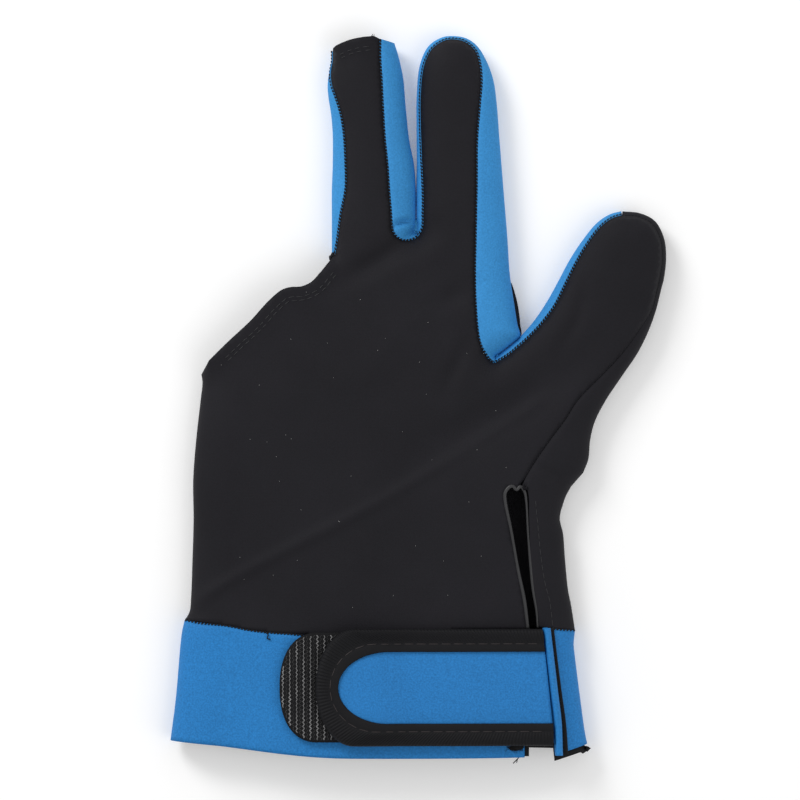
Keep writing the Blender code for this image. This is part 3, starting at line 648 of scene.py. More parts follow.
# By the thumb's crotch the palm's raw edge stands out a little past the blue gusset.
ALLOWANCE = 0.0011
ALLOWANCE_HEIGHT = 0.0028
ALLOWANCE_RUN = (0.745, 0.895)
ALLOWANCE_LAP = 0.0006
run_share = (fingers.wall[:, 1] - HAND.origin[1]) / HAND_LENGTH
beside_index = np.flatnonzero((run_share > ALLOWANCE_RUN[0]) & (run_share < ALLOWANCE_RUN[1]))
edge_run = fingers.wall[beside_index]
edge_taper = np.sin(np.linspace(0.0, math.pi, len(edge_run)))[:, None] ** 0.6
edge_out = edge_run - right_inward[beside_index] * ALLOWANCE * edge_taper
edge_in = edge_run + right_inward[beside_index] * ALLOWANCE_LAP
raw_edge = [lifted(edge_in + (edge_out - edge_in) * share, np.full(len(edge_run), ALLOWANCE_HEIGHT))
            for share in (0.0, 0.5, 1.0)]
palm_cloth = cloth("palm_cloth", [panel_part(palm_outline, under_height, False, PALM_LATTICE),
                                  grid_part(wrap_columns), grid_part(raw_edge)],
                   FABRIC, [black_knit], "palm_panel")
laid(palm_cloth)

# Gussets: strips of blue stretch fabric along the sides of the fingers and thumb, sewn
# between the palm and the back. One runs without a join from the middle finger's inner
# side through the crease and all round the index finger.

blue_stretch = fabric("blue_stretch", (0.046, 0.275, 0.620), 0.68, 0.6, 0.25, 760.0, 0.00003, 0.12)


def gusset_height(points):
    """Height of the gussets: the back's, with the tucks where the strip turns a corner."""
    return folded(points, back_height(points), TUCKS)


def gusset(name, strip, direction):
    """Profile from the back seam over the silhouette to the seam under the hand, carried
    along the silhouette's rows."""
    top = columns_between(strip.wall, seam_edge(strip.seam, -1), gusset_height)
    below = columns_between(strip.wall, strip.wall + direction * (GUSSET_UNDER - SEAM_GAP), under_height)
    return cloth(name + "_cloth", [grid_part(top[::-1] + below[1:])], FABRIC, [blue_stretch], name)


laid(gusset("gusset_middle_outer", middle_outer, inward(middle_outer.wall)))
laid(gusset("gusset_fingers", fingers, right_inward[:len(fingers.wall)]))
laid(gusset("gusset_thumb", thumb_inner, right_inward[len(fingers.wall):thumb_tip]))

# Back panel: one piece of black stretch fabric over the back of the hand, the two
# fingers and the thumb, hemmed at its mouths and folded a little under on the left.

BACK_LATTICE = 0.0012

wrist_edge = wrist_seam + np.array([0.0, 0.5 * SEAM_GAP])
left_start = np.concatenate([wrist_edge[-1:], left_wall])
left_top = left_start + LEFT_INWARD * TOP_ROUND
left_top[0, 1] = np.interp(left_top[0, 0], wrist_edge[::-1, 0], wrist_edge[::-1, 1])
left_shares = np.sin(np.linspace(0.0, 0.5 * math.pi, 13)) ** 3
opening_end = left_wall[-1] + LEFT_INWARD * TOP_ROUND * left_shares[-2::-1, None]
back_outline = np.concatenate([
    left_top,
    opening_end,
    side_opening,
    seam_edge(middle_outer.seam, 1),
    middle_tip,
    seam_edge(fingers.seam, 1),
    seam_edge(thumb_inner.seam, 1),
    seam_edge(thumb_outer.seam, 1),
    slit_left,
    wrist_edge[wrist_edge[:, 0] > left_top[0, 0] + 0.0003],
])
left_columns = (columns_between(left_start, left_top, back_height, left_shares)[::-1]
                + columns_between(left_start, left_start + LEFT_INWARD * LEFT_UNDER, under_height)[1:])
back_cloth = cloth("back_cloth", [panel_part(back_outline, back_height, True, BACK_LATTICE),
                                  grid_part(left_columns)],
                   FABRIC, [black_knit], "back_panel")
laid(back_cloth)

# Seam stitches: black polyester thread that joins the back to the blue gussets and to the
# palm's wrapped edge. An overlock seam pulls the cloth into small scallops, with a stitch
# in each.

THREAD_SIDES = 6
THREAD_RADIUS = 0.00030
SEAM_PITCH = 0.0010
SEAM_STITCH = 0.00100


def resample(line, spacing):
    """Points at even steps of arc length along a polyline, and the unit tangents there."""
    reach = np.concatenate([[0.0], np.cumsum(np.linalg.norm(np.diff(line, axis=0), axis=1))])
    keep = np.concatenate([[True], np.diff(reach) > 1e-9])
    reach, line = reach[keep], line[keep]
    at = np.arange(0.5 * spacing, reach[-1], spacing)
    points = np.column_stack([np.interp(at, reach, column) for column in line.T])
    ahead = np.column_stack([np.interp(at + 2e-4, reach, column) for column in line.T])
    behind = np.column_stack([np.interp(at - 2e-4, reach, column) for column in line.T])
    tangent = ahead - behind
    return points, tangent / np.maximum(np.linalg.norm(tangent, axis=1), 1e-9)[:, None]


def unit(vectors):
    """Vectors of length 1."""
    return vectors / np.maximum(np.linalg.norm(vectors, axis=-1, keepdims=True), 1e-12)


def grain_cells(centres, directions, length, radius, flat=1.0):
    """Spindles of the length and radius along the directions: two poles and three rings of
    six points each, whose radii follow an ellipse. Length and radius may be arrays."""
    turn = 2.0 * math.pi * np.arange(THREAD_SIDES) / THREAD_SIDES
    rings = [np.column_stack([np.full(THREAD_SIDES, t), w * np.cos(turn), w * np.sin(turn) * flat])
             for t, w in ((-0.8, 0.75), (0.0, 1.0), (0.8, 0.75))]
    shape = np.concatenate([[[-1.0, 0.0, 0.0]], *rings, [[1.0, 0.0, 0.0]]])
    k, after = np.arange(THREAD_SIDES), (np.arange(THREAD_SIDES) + 1) % THREAD_SIDES
    last = 3 * THREAD_SIDES + 1
    low = np.column_stack([np.zeros_like(k), 1 + after, 1 + k])
    high = np.column_stack([np.full_like(k, last), last - THREAD_SIDES + k, last - THREAD_SIDES + after])
    sides = [np.column_stack([a + k, a + after, a + THREAD_SIDES + after, a + THREAD_SIDES + k])
             for a in (1, 1 + THREAD_SIDES)]
    sides = np.concatenate(sides)
    along = unit(directions)
    beside = unit(np.cross(np.broadcast_to([0.0, 0.0, 1.0], along.shape) + 1e-6, along))
    above = np.cross(along, beside)
    half = (0.5 * np.broadcast_to(length, len(centres)))[:, None, None]
    thick = np.broadcast_to(radius, len(centres))[:, None, None]
    verts = (centres[:, None] + half * shape[None, :, :1] * along[:, None]
             + thick * (shape[None, :, 1:2] * beside[:, None] + shape[None, :, 2:] * above[:, None]))
    base = (np.arange(len(centres)) * len(shape))[:, None, None]
    faces = [(base + part).reshape(-1, part.shape[1]).tolist() for part in (low, high, sides)]
    return verts.reshape(-1, 3), faces[0] + faces[1] + faces[2]


def tube_cells(path, radius, sides=THREAD_SIDES, flat=1.0):
    """Tube round a 3-D path: at each point a ring in the plane square to the path, flat
    times as high as it is wide, and a fan's pole at each end."""
    tangent = unit(np.gradient(path, axis=0))
    beside = unit(np.cross(np.broadcast_to([0.0, 0.0, 1.0], tangent.shape) + 1e-6, tangent))
    above = np.cross(tangent, beside)
    turn = 2.0 * math.pi * np.arange(sides) / sides
    ring = (np.cos(turn)[None, :, None] * beside[:, None]
            + flat * np.sin(turn)[None, :, None] * above[:, None])
    radii = np.broadcast_to(radius, len(path))[:, None, None]
    verts = np.concatenate([(path[:, None] + radii * ring).reshape(-1, 3), path[:1], path[-1:]])
    index = np.arange(len(path) * sides).reshape(-1, sides)
    after = np.roll(index, -1, axis=1)
    quads = np.stack([index[:-1], after[:-1], after[1:], index[1:]], axis=-1).reshape(-1, 4).tolist()
    first, last = len(path) * sides, len(path) * sides + 1
    caps = [(first, b, a) for a, b in zip(index[0], after[0])]
    caps += [(last, a, b) for a, b in zip(index[-1], after[-1])]
    return verts, quads + [tuple(int(v) for v in cap) for cap in caps]


def joined(name, cells, material):
    """One object from several (vertices, faces) pairs, smooth, riding on the glove."""
    verts, faces, count = [], [], 0
    for points, found in cells:
        faces += [tuple(v + count for v in face) for face in found]
        verts.append(points)
        count += len(points)
    data = bpy.data.meshes.new(name)
    data.from_pydata(np.concatenate(verts), [], faces)
    data.polygons.foreach_set("use_smooth", np.ones(len(data.polygons), dtype=bool))
    data.materials.append(material)
    piece = bpy.data.objects.new(name, data)
    bpy.context.scene.collection.objects.link(piece)
    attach(piece, "root")
    return piece


def leaning(tangent, degrees):
    """Plan directions turned from the tangents by the angle."""
    turn = math.radians(degrees)
    x, y = tangent[:, 0], tangent[:, 1]
    return np.column_stack([x * math.cos(turn) - y * math.sin(turn), x * math.sin(turn) + y * math.cos(turn),
                            np.zeros(len(x))])


def seam_stitches(line, height, lean=18.0, side=-0.00022, pitch=SEAM_PITCH, length=SEAM_STITCH,
                  radius=THREAD_RADIUS, rise=0.0):
    """A slanting stitch at each pitch of a plan line, a little to its outer side."""
    points, tangent = resample(line, pitch)
    points = points + np.column_stack([tangent[:, 1], -tangent[:, 0]]) * side
    return grain_cells(lifted(points, height(points) + rise), leaning(tangent, lean), length, radius, 0.6)


seam_thread = fabric("seam_thread", (0.007, 0.007, 0.009), 0.5, 0.2, 0.2, specular=0.2)
for name, strip, node in (("stitches_middle", middle_outer, "gusset_middle_outer"),
                          ("stitches_fingers", fingers, "gusset_fingers"),
                          ("stitches_thumb", thumb_inner, "gusset_thumb")):
    joined(name, [seam_stitches(strip.seam, back_height)], seam_thread)
plain_seam = thumb_outer.seam[:-3]
joined("stitches_thumb_outer",
       [seam_stitches(plain_seam, back_height, 20.0, 0.0, radius=0.0001, rise=-0.00008)],
       seam_thread)

# Hems and topstitches: the back's edge at the ring finger's side and at the middle
# finger's tip is turned in and held with two rows of coverstitch. A row of long stitches
# runs beside the slit.

HEM_STITCH = 0.0019
HEM_PITCH = 0.0024
HEM_ROWS = (0.0030, 0.0041)
SLIT_TOPSTITCH = [Edge(0.916, 0.326), Edge(0.924, 0.248), Edge(0.932, 0.171), Edge(0.943, 0.106),
                  Edge(0.954, 0.067), Edge(0.962, 0.005)]

hem_thread = fabric("hem_thread", (0.022, 0.022, 0.025), 0.45, 0.3, 0.3, specular=0.4)


def stitch_row(line, height, pitch=HEM_PITCH, length=HEM_STITCH, radius=0.00012, rise=0.00005):
    """Straight stitches end to end along a plan line."""
    return seam_stitches(line, height, 0.0, 0.0, pitch, length, radius, rise)


side_mouth, tip_mouth = MOUTHS
joined("hem_stitches", [stitch_row(mouth + inward(mouth) * depth, back_height)
                        for mouth in (side_mouth[6:-4], tip_mouth[1:-3]) for depth in HEM_ROWS],
       hem_thread)
joined("slit_topstitch", [stitch_row(edge_of(HAND, SLIT_TOPSTITCH), back_height)], hem_thread)

# Slit lip: a narrow satin tape sewn along both sides of the slit over the wrist. It is
# turned in on itself as a soft roll, and at the top its two ends meet in an M.

LIP_LINE = [Edge(0.8960, -0.006), Edge(0.8865, 0.067), Edge(0.8700, 0.145), Edge(0.8510, 0.248),
            Edge(0.8350, 0.325), Edge(0.8350, 0.345), Edge(0.8465, 0.360), Edge(0.8560, 0.362),
            Edge(0.8660, 0.353), Edge(0.8750, 0.361), Edge(0.8800, 0.3590), Edge(0.8880, 0.346),
            Edge(0.8920, 0.320), Edge(0.8960, 0.248), Edge(0.9020, 0.171), Edge(0.9100, 0.093),
            Edge(0.9190, 0.041), Edge(0.9225, -0.004)]
LIP_RADIUS = 0.00052

satin = fabric("satin", (0.026, 0.026, 0.028), 0.42, 0.3, 0.6, 500.0, 0.00002, 0.45)
lip_plan = edge_of(HAND, LIP_LINE, 0.0005)
lip_share = np.linspace(0.0, 1.0, len(lip_plan))
lip_width = LIP_RADIUS * (1.0 - 0.28 * smoothstep(0.5, 0.6, lip_share) + 0.1 * np.sin(17.0 * lip_share))
lip_path = lifted(lip_plan, crown_height(lip_plan) - 0.0002)
slit_lip = joined("slit_lip", [tube_cells(lip_path, lip_width, 10, 0.8)], satin)
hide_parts("slit_binding")

# Cuff: neoprene round the wrist, two layers glued together, blue jersey outside and a
# black backing inside. It is cut raw at its lower edge and at the slit, where the black
# layer shows past the blue one.

NEOPRENE_FACE = 0.0009
NEOPRENE_BACK = 0.0015
SLIT_INSET = 0.0002
EDGE_SHOW = 0.0014
CORNER_SHOW = 0.0018
FACE_RISE = 0.0012
BACK_RISE = 0.0003
BACK_DROP = 0.0005
CUFF_ROWS = 26
OVER_COLUMNS = 90
UNDER_COLUMNS = 40
WALL_COLUMNS = 14
UNDER_ROUNDED = 0.08
RIGHT_ROUNDED = 0.7
CUFF_BOTTOM = [
    Edge(-0.062, 0.93),
    Edge(0.019, 0.95),
    Edge(0.088, 0.975),
    Edge(0.260, 1.04),
    Edge(0.367, 1.065),
    Edge(0.501, 1.07),
    Edge(0.823, 1.065),
    Edge(0.895, 1.06),
]
FOLD_LEFT_EDGE = [
    Edge(0.935, 0.010),
    Edge(0.944, 0.24),
    Edge(0.955, 0.52),
    Edge(0.965, 0.78),
    Edge(0.968, 1.042),
]

cuff_blue = fabric("cuff_blue", (0.0235, 0.205, 0.535), 0.62, 0.75, 0.18, 620.0, 0.00004, 0.15)
neoprene_black = fabric("neoprene_black", (0.012, 0.012, 0.013), 0.8, 0.4, 0.2)


def cuff_grid(slit_end, low_rise, wall_rise, fold_rise):
    """Columns of plan points and heights round the wrist: from the slit's edge over the
    back to the left side, under the wrist and up over the right side to the fold. The
    rises move the lower edge on the back, at the right wall and at the fold."""
    down = np.linspace(0.0, 1.0, CUFF_ROWS)[:, None]
    bottom = edge_of(CUFF_FRAME, CUFF_BOTTOM, 0.001)
    shares = np.sin(np.linspace(0.0, 0.5 * math.pi, WALL_COLUMNS)) ** 3
    gap = np.array([0.0, -0.5 * SEAM_GAP])
    left_seam, left_end = cuff_left[0] + gap, cuff_left[-1]
    right_seam, right_end = cuff_right[0] + gap, cuff_right[-1]
    fold_top = place(CUFF_FRAME, *FOLD_LEFT_EDGE[0]) + gap
    fold_end = place(CUFF_FRAME, *FOLD_LEFT_EDGE[-1]) + [0.0, fold_rise]
    left_line = left_seam + (left_end - left_seam) * down
    left_line[:, 0] = np.interp(left_line[:, 1], cuff_left[::-1, 1], cuff_left[::-1, 0])
    right_line = right_seam + (right_end + [0.0, wall_rise] - right_seam) * down
    right_line[:, 0] = np.interp(right_line[:, 1], cuff_right[::-1, 1], cuff_right[::-1, 0])
    fold_run = fold_top + (fold_end - fold_top) * down
    seam_x = np.linspace(slit_end, left_seam[0] + TOP_ROUND, OVER_COLUMNS)
    seam_y = np.interp(seam_x, wrist_seam[::-1, 0], wrist_seam[::-1, 1]) + gap[1]
    end_y = np.interp(seam_x, bottom[:, 0], bottom[:, 1]) + low_rise
    over = [np.column_stack([np.full(CUFF_ROWS, x), top + (end - top) * down[:, 0]])
            for x, top, end in zip(seam_x, seam_y, end_y)]
    over += [left_line + (over[-1] - left_line) * s for s in shares[-2::-1]]
    across = np.concatenate([shares[1:-1] * UNDER_ROUNDED,
                             np.linspace(UNDER_ROUNDED, 1.0 - UNDER_ROUNDED, UNDER_COLUMNS),
                             1.0 - shares[-2:0:-1] * UNDER_ROUNDED])
    under = [left_line + (right_line - left_line) * s for s in across]
    right = [right_line + (fold_run - right_line) * s
             for s in np.concatenate([shares[:-1] * RIGHT_ROUNDED, np.linspace(RIGHT_ROUNDED, 1.0, 8)])]
    columns = [lifted(plan, crown_height) for plan in over] + [lifted(plan, under_height) for plan in under]
    columns += [lifted(plan, crown_height) for plan in right]
    return np.array(columns)


def sunk(grid, depth):
    """Grid moved along its own normals, found by the cross product of its two steps."""
    normal = unit(np.cross(np.gradient(grid, axis=0), np.gradient(grid, axis=1)))
    return grid - normal * depth


slit_face_end = wrist_seam[0, 0] - SLIT_INSET
face_grid = cuff_grid(slit_face_end, 0.0, FACE_RISE, 0.0)
back_grid = cuff_grid(slit_face_end + EDGE_SHOW, BACK_RISE, -BACK_DROP, -CORNER_SHOW)
cuff_face = cloth("cuff_face", [grid_part(face_grid[::-1])], NEOPRENE_FACE, [cuff_blue, neoprene_black],
                  "cuff", 1)
cuff_backing = cloth("cuff_backing", [grid_part(sunk(back_grid, NEOPRENE_FACE + 0.00003)[::-1])],
                     NEOPRENE_BACK, [neoprene_black], None)
laid(cuff_face)
laid(cuff_backing)

# Cuff seam and loose ends: black overlock stitches along the cuff's top, a short thread
# at the left, a worn patch of hook fibre by the slit with a tuft below it, a wisp on the
# middle finger's tip and a knot where the side opening ends.

TOP_STITCH_DROP = 0.00025
TUFT_SEED = 11
HAIRS = 130

cuff_top = wrist_seam[::-1] - [0.0, TOP_STITCH_DROP]
right_top = np.array([place(CUFF_FRAME, *FOLD_LEFT_EDGE[0]), cuff_right[0]]) - [0.0, TOP_STITCH_DROP]
joined("cuff_seam_stitches",
       [seam_stitches(line, crown_height, 18.0, -0.0001) for line in (cuff_top, right_top)],
       seam_thread)


def loose_thread(shares, radius, rise):
    """Thin thread through points given as shares of the hand's width and length, lifted
    from the cloth by the rises."""
    plan = np.array([place(HAND, *share) for share in shares])
    points = np.column_stack([plan, crown_height(plan) + np.array(rise)])
    return tube_cells(curve_through(points, 0.0003), radius)


def hairs(centre, spread, count, length, rise):
    """Short fibres scattered round a plan point, in random directions close to the cloth."""
    scatter = np.random.default_rng(TUFT_SEED)
    plan = np.array(centre) + scatter.normal(size=(count, 2)) * spread
    turn = scatter.uniform(0.0, 2.0 * math.pi, count)
    directions = np.column_stack([np.cos(turn), np.sin(turn), scatter.uniform(-0.1, 0.4, count)])
    reach = length * scatter.uniform(0.5, 1.3, count)
    return grain_cells(lifted(plan, crown_height(plan) + rise), directions, reach, 0.00005)


patch_centre = place(HAND, 0.865, -0.3130)
patch = grain_cells(np.array([[*patch_centre, 0.0]]) + [0, 0, crown_height(patch_centre[None])[0] + 0.0001],
                    np.array([[1.0, 0.12, 0.0]]), 0.0046, 0.0009, 0.35)
joined("hook_patch", [patch, hairs(patch_centre, (0.0014, 0.00055), HAIRS, 0.0012, 0.00025)],
       neoprene_black)
joined("loose_threads", [
    loose_thread([(0.193, -0.013), (0.202, -0.022), (0.199, -0.030), (0.208, -0.034)], 0.00018,
                 [0.0001, 0.0004, 0.0006, 0.0004]),
    loose_thread([(0.875, -0.335), (0.868, -0.343), (0.862, -0.349), (0.857, -0.354)], 0.00016,
                 [-0.0010, -0.0012, -0.0015, -0.0018]),
    loose_thread([(0.872, -0.335), (0.868, -0.345), (0.866, -0.353)], 0.00012, [-0.0012, -0.0016, -0.0020]),
], seam_thread)
joined("tip_wisp", [loose_thread([(0.474, 1.521), (0.479, 1.526), (0.482, 1.530)], 0.00010,
                                 [-0.0008, -0.0005, -0.0004]),
                    loose_thread([(0.486, 1.521), (0.484, 1.526), (0.486, 1.529)], 0.00008,
                                 [-0.0008, -0.0006, -0.0006])],
       seam_thread)
knot_place = place(MIDDLE, -0.992, -0.080)
knot_places = np.array([[*knot_place, 0.0072], [*(knot_place - [0.0004, 0.0009]), 0.0069]])
knot_directions = np.array([[0.3, 1.0, 0.2], [-0.3, 1.0, 0.1]])
joined("side_knot", [grain_cells(knot_places, knot_directions, 0.0022, 0.00062)], seam_thread)

# Hook tab: the strap's closing end, a stiff warp-knitted hook tape. Grey monofilament
# zigzags run down it on a black ground, with a net of thinner loops between them.

TAB_REACH = 0.0108
TAB_END_REACH = 0.0115
TAB_END_POWER = 2.3
TAB_NARROWER = 0.0011
TAB_UNDERLAP = 0.0150
TAB_THICKNESS = 0.0015
STRAP_WIDTH = 0.0350
STRAP_LENGTH = 0.0700
STRAP_DROP = 0.0003
PIECE_GAP = 0.00045
ARC_POINTS = 121
SIDE_SPACING = 0.0008
WALE_PITCH = 0.00207
WALE_STEP = 0.00124
WALE_SWING = 0.00028
WALE_RADIUS = 0.00021

fold_line = edge_of(CUFF_FRAME, FOLD_LEFT_EDGE, 0.0006)
STRAP_TOP = fold_line[0, 1] - STRAP_DROP
STRAP_AXIS = STRAP_TOP - 0.5 * STRAP_WIDTH
STRAP_TIP = float(np.interp(-STRAP_AXIS, -fold_line[:, 1], fold_line[:, 0])) - STRAP_LENGTH
TAB_TIP = STRAP_TIP - TAB_REACH
TAB_END = STRAP_TIP + TAB_UNDERLAP


def end_outline(tip, reach, half_width, power, right_limit, straight=0):
    """Plan outline with a superellipse for its left end and straight sides, from its
    right end's top round to below. straight sets the number of points on a side."""
    turn = np.linspace(0.0, math.pi, ARC_POINTS)
    x = tip + reach - reach * np.abs(np.sin(turn)) ** (2.0 / power)
    y = STRAP_AXIS + half_width * np.sign(np.cos(turn)) * np.abs(np.cos(turn)) ** (2.0 / power)
    arc = np.column_stack([x, y])
    top_end = np.array([right_limit(arc[0, 1]), arc[0, 1]])
    low_end = np.array([right_limit(arc[-1, 1]), arc[-1, 1]])
    count = straight or int((top_end[0] - arc[0, 0]) / SIDE_SPACING) + 2
    share = np.linspace(0.0, 1.0, count, endpoint=False)[:, None]
    return np.concatenate([top_end + (arc[0] - top_end) * share, arc,
                           (low_end + (arc[-1] - low_end) * share)[::-1]])


def tab_top(points):
    """Height of the tab's face over the cuff."""
    return crown_height(points) + PIECE_GAP + TAB_THICKNESS


def wale(x, phase, swing, radius, outline, rise):
    """One zigzag thread down the tab at x, cut where it leaves the outline."""
    y = np.arange(STRAP_AXIS - 0.5 * STRAP_WIDTH, STRAP_AXIS + 0.5 * STRAP_WIDTH, 0.25 * WALE_STEP)
    wave = np.abs((y / WALE_STEP + phase) % 1.0 - 0.5) * 4.0 - 1.0
    pull = np.interp(np.arange(len(y)), np.arange(0, len(y) + 9, 9), rng.uniform(0.45, 1.15, len(y) // 9 + 2))
    plan = np.column_stack([x + swing * wave * pull, y])
    kept = inside_of(plan, outline)
    if kept.sum() < 4:
        return []
    return [tube_cells(lifted(plan[kept], tab_top(plan[kept]) + rise), (radius * pull)[kept], 5)]


hook_black = fabric("hook_black", (0.010, 0.010, 0.011), 0.85, 0.6, 0.3)
hook_grey = fabric("hook_grey", (0.21, 0.21, 0.212), 0.55, 1.6, 1.2, specular=0.3)
hook_dim = fabric("hook_dim", (0.035, 0.035, 0.036), 0.6, 1.4, 1.0, specular=0.25)
tab_half = 0.5 * STRAP_WIDTH - TAB_NARROWER
tab_outline = end_outline(TAB_TIP, TAB_END_REACH, tab_half, TAB_END_POWER, lambda y: TAB_END)
tab_inside = end_outline(TAB_TIP + 0.0005, TAB_END_REACH - 0.0005, tab_half - 0.0005, TAB_END_POWER,
                         lambda y: TAB_END)
hook_ground = cloth("hook_ground", [panel_part(tab_outline, tab_top, True, 0.0012)], TAB_THICKNESS,
                    [hook_black], "hook_tab")
wales = np.arange(TAB_TIP + 0.0010, TAB_END, WALE_PITCH)
joined("hook_wales", sum((wale(x, 0.0, WALE_SWING, WALE_RADIUS, tab_inside, 0.00008) for x in wales), []),
       hook_grey)
joined("hook_net",
       sum((wale(x, 0.5, 1.6 * WALE_SWING, 0.8 * WALE_RADIUS, tab_inside, 0.00004)
            for x in wales + 0.5 * WALE_PITCH), []),
       hook_dim)
laid(hook_ground)

# Strap: a tongue of the same blue neoprene, sewn to the cuff at its right end. A ribbed
# black binding tape is folded over its other edges and sewn through with long stitches.

STRAP_END_REACH = 0.0115
STRAP_FACE_REACH = 0.0150
STRAP_RISE_REACH = (0.002, 0.014)
STRAP_CORE = 0.0015
BINDING_WIDTH = 0.0068
BINDING_TAPE = 0.0006
CLEARANCE = 0.0003
ROOT_GAP = 0.00005
STACK = 2.0 * BINDING_TAPE + 2.0 * CLEARANCE + STRAP_CORE
STITCH_INSET = 0.0044
STITCH_LENGTH = 0.0030
RIB_PITCH = 0.00092
RIB_HEIGHT = 0.00015


def strap_lift(points):
    """Height of the strap's underside over the cuff, raised where it lies on the tab."""
    ramp = smoothstep(TAB_END + STRAP_RISE_REACH[0], TAB_END + STRAP_RISE_REACH[1], points[:, 0])
    return PIECE_GAP + (TAB_THICKNESS + CLEARANCE) * (1.0 - ramp)


def root_limit(y):
    """The strap's right end, against the fold's left edge."""
    return float(np.interp(-y, -fold_line[:, 1], fold_line[:, 0])) - ROOT_GAP


strap_inset = BINDING_TAPE + CLEARANCE
core_outline = end_outline(STRAP_TIP + strap_inset, STRAP_END_REACH - strap_inset,
                           0.5 * STRAP_WIDTH - strap_inset, 2.0, root_limit)
strap_blue = fabric("strap_blue", (0.0240, 0.198, 0.520), 0.62, 0.75, 0.15, 620.0, 0.00004, 0.15)


def core_height(points):
    """The core's face, puffed a little inside its binding."""
    puff = smoothstep(BINDING_WIDTH - 0.0012, BINDING_WIDTH + 0.0035, line_distance(points, [core_outline]))
    return crown_height(points) + strap_lift(points) + STACK - strap_inset + 0.00035 * puff


strap_core = cloth("strap_core", [panel_part(core_outline, core_height, True, 0.0012)], STRAP_CORE,
                   [strap_blue], "strap")
laid(strap_core)

edge_outline = end_outline(STRAP_TIP, STRAP_END_REACH, 0.5 * STRAP_WIDTH, 2.0, root_limit, straight=80)
face_outline = end_outline(STRAP_TIP + BINDING_WIDTH, STRAP_FACE_REACH, 0.5 * STRAP_WIDTH - BINDING_WIDTH,
                           2.0, root_limit, straight=80)
both_paths = resample(np.column_stack([edge_outline, face_outline]), math.sqrt(2.0) * RIB_PITCH / 5.0)[0]
edge_path, across_tape = both_paths[:, :2], (both_paths[:, 2:] - both_paths[:, :2]) / BINDING_WIDTH
rib_wave = np.cos(2.0 * math.pi * np.arange(len(edge_path)) / 5.0)
BINDING_PROFILE = [(0.0068, 3.02), (0.0066, 3.22), (0.0060, 3.30), (0.0052, 3.31), (0.0047, 3.20),
                   (0.0044, 3.08), (0.0041, 3.20), (0.0036, 3.36), (0.0028, 3.46), (0.0020, 3.46),
                   (0.0012, 3.38), (0.0006, 3.15), (0.0002, 2.70), (0.0, 2.00), (0.0, 1.20),
                   (0.0002, 0.50), (0.0006, 0.10), (0.0012, 0.0), (0.0036, 0.0), (0.0068, 0.0)]


def binding_column(inset, rise):
    """Row of points along the strap's edge at an inset and a rise in millimetres, with
    ribs across the tape outside its stitching."""
    plan = edge_path + across_tape * inset
    plan[:, 0] = np.minimum(plan[:, 0], [root_limit(y) for y in plan[:, 1]])
    ribs = RIB_HEIGHT * rib_wave * (inset < STITCH_INSET - 0.0003) * (rise > 0.2)
    return lifted(plan, crown_height(plan) + strap_lift(plan) + rise * 0.001 + ribs)


binding_black = fabric("binding_black", (0.0085, 0.0085, 0.0100), 0.65, 0.5, 0.25, 900.0, 0.00003, 0.16)
binding = cloth("binding", [grid_part([binding_column(*row) for row in BINDING_PROFILE][::-1])], 0.0004,
                [binding_black], "strap_binding")
binding_thread = fabric("binding_thread", (0.034, 0.027, 0.028), 0.45, 0.4, 0.4, specular=0.4)
stitch_path = (edge_path + across_tape * STITCH_INSET)[9:-9]
joined("binding_stitches", [stitch_row(stitch_path, lambda p: crown_height(p) + strap_lift(p) + 0.00318,
                                       0.0037, STITCH_LENGTH, 0.00014, 0.0)],
       binding_thread)
laid(binding)

# Fold over the strap's root: a narrow turned edge of the blue neoprene, sewn down beside
# a black seam that opens towards the cuff's lower edge.

FOLD_WIDTH = 0.0024
FOLD_THICKNESS = 0.0013
FOLD_SHARES = np.linspace(0.0, 1.0, 13)
SEAM_TOP_WIDTH = 0.0011
SEAM_LOW_WIDTH = 0.0018
TICK_PITCH = 0.0012


def fold_height(share):
    """Height function of the fold at a share of its width: a rounded top, steep sides."""
    bulge = (1.0 - abs(2.0 * share - 1.0) ** 3.5)
    return lambda points: crown_height(points) + PIECE_GAP + STACK * (0.45 + 0.55 * bulge)


fold_cloth = cloth("cuff_fold_cloth",
                   [grid_part([lifted(fold_line + [FOLD_WIDTH * s, 0.0], fold_height(s))
                               for s in FOLD_SHARES])],
                   FOLD_THICKNESS, [cuff_blue], "cuff_fold")
seam_left = fold_line + [FOLD_WIDTH - 0.0001, 0.0]
opening = np.linspace(0.0, 1.0, len(fold_line)) ** 3
seam_half = 0.5 * (SEAM_TOP_WIDTH + (SEAM_LOW_WIDTH - SEAM_TOP_WIDTH) * opening)
seam_middle = seam_left + np.column_stack([seam_half, np.zeros(len(fold_line))])
seam_path = lifted(seam_middle, crown_height(seam_middle) + 0.0002)
joined("fold_seam", [tube_cells(seam_path, seam_half, 10, 0.35)],
       neoprene_black)
laid(fold_cloth)
joined("fold_stitches", [seam_stitches(seam_left, lambda p: crown_height(p) + 0.0006, 70.0, 0.0, TICK_PITCH,
                                       0.0011, 0.00016)], seam_thread)

# Lint: a few white specks of cotton fibre on the black cloth of the back. They cling to
# its knit.

LINT_COUNT = 46

lint_spread = rng.uniform((0.02, 0.02), (0.88, 0.92), (LINT_COUNT, 2))
lint_plan = np.array([place(HAND, *share) for share in lint_spread])
lint_plan = lint_plan[inside_of(lint_plan, back_outline)]
lint_plan = np.concatenate([lint_plan, [place(HAND, 0.391, 0.2715)]])
lint_turn = rng.uniform(0.0, math.pi, len(lint_plan))
lint_size = np.append(rng.uniform(0.00012, 0.00030, len(lint_plan) - 1), 0.00055)
lint_white = fabric("lint", (0.45, 0.45, 0.44), 0.8, 0.2, 0.1)
joined("lint", [grain_cells(lifted(lint_plan, back_height(lint_plan) + 0.00003),
                            np.column_stack([np.cos(lint_turn), np.sin(lint_turn), 0.0 * lint_turn]),
                            lint_size, 0.00006)], lint_white)

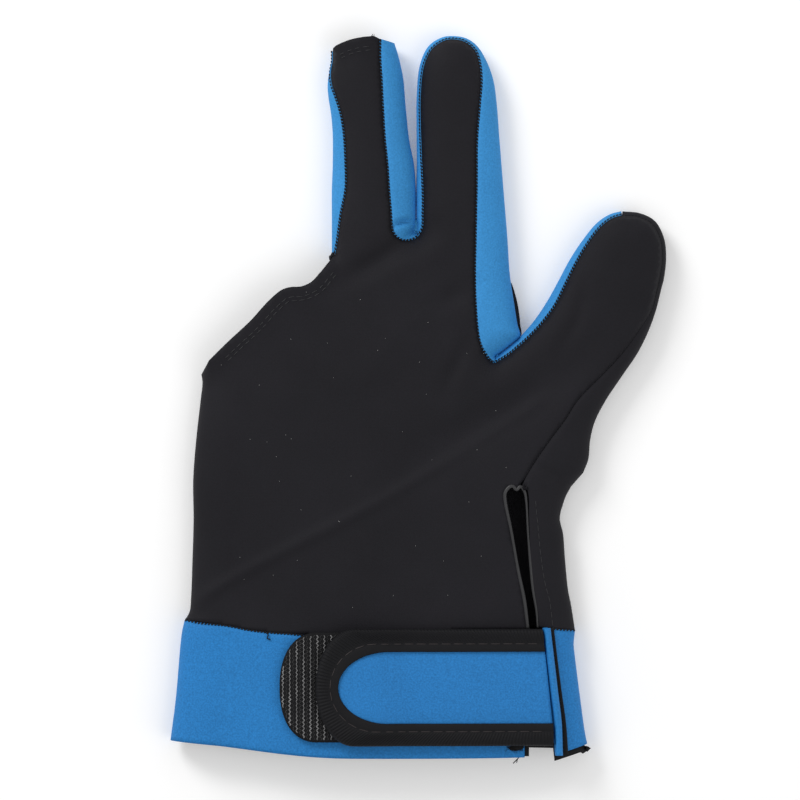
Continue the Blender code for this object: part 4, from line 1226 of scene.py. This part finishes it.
# Camera, floor and light: straight above the back of the hand, on a plain white table
# under two soft lights. From below, the table lets the palm be seen.

CAMERA_CENTRE = (-0.0055, -0.0010)
CAMERA_HEIGHT = 1.9
PICTURE_WIDTH = 0.2400
FLOOR_REACH = 3.0
FLOOR_LEVEL = -0.0003

camera_data = bpy.data.cameras.new("camera")
camera_data.sensor_width = 36.0
camera_data.lens = 36.0 * (CAMERA_HEIGHT - 0.008) / PICTURE_WIDTH
camera_data.clip_end = 20.0
camera = bpy.data.objects.new("camera", camera_data)
camera.location = (*CAMERA_CENTRE, CAMERA_HEIGHT)
bpy.context.scene.collection.objects.link(camera)
bpy.context.scene.camera = camera

white_table = bpy.data.materials.new("white_table")
white_table.use_nodes = True
table_tree = white_table.node_tree
table_shader = table_tree.nodes["Principled BSDF"]
for label, value in (("Base Color", (0.95, 0.95, 0.95, 1.0)), ("Emission Color", (1.0, 1.0, 1.0, 1.0)),
                     ("Emission Strength", 0.16), ("Roughness", 0.85)):
    table_shader.inputs[label].default_value = value
see_through = add_node(table_tree, "ShaderNodeBsdfTransparent")
facing = add_node(table_tree, "ShaderNodeNewGeometry")
one_sided = add_node(table_tree, "ShaderNodeMixShader", [], [],
                     [(0, facing.outputs["Backfacing"]), (1, table_shader.outputs[0]),
                      (2, see_through.outputs[0])])
table_tree.links.new(one_sided.outputs[0], table_tree.nodes["Material Output"].inputs["Surface"])
floor_data = bpy.data.meshes.new("floor")
corners = [(FLOOR_REACH * x, FLOOR_REACH * y, FLOOR_LEVEL) for x, y in ((-1, -1), (1, -1), (1, 1), (-1, 1))]
floor_data.from_pydata(corners, [], [(0, 1, 2, 3)])
floor = bpy.data.objects.new("floor", floor_data)
floor_data.materials.append(white_table)
bpy.context.scene.collection.objects.link(floor)


def soft_light(name, place_at, size, power):
    """Square area light that points at the glove's middle, the world's origin."""
    data = bpy.data.lights.new(name, "AREA")
    data.size = size
    data.energy = power
    light = bpy.data.objects.new(name, data)
    light.location = place_at
    x, y, z = place_at
    light.rotation_euler = (math.atan2(math.hypot(x, y), z), 0.0, math.atan2(-x, y) + math.pi)
    bpy.context.scene.collection.objects.link(light)


soft_light("key", (-0.70, 0.80, 0.75), 0.5, 7.9)
soft_light("fill", (0.8, -0.4, 1.0), 1.0, 3.2)
world = bpy.data.worlds.new("studio")
world.use_nodes = True
world.node_tree.nodes["Background"].inputs["Color"].default_value = (1.0, 1.0, 1.0, 1.0)
world.node_tree.nodes["Background"].inputs["Strength"].default_value = 0.56
bpy.context.scene.world = world
bpy.context.scene.view_settings.view_transform = "Standard"
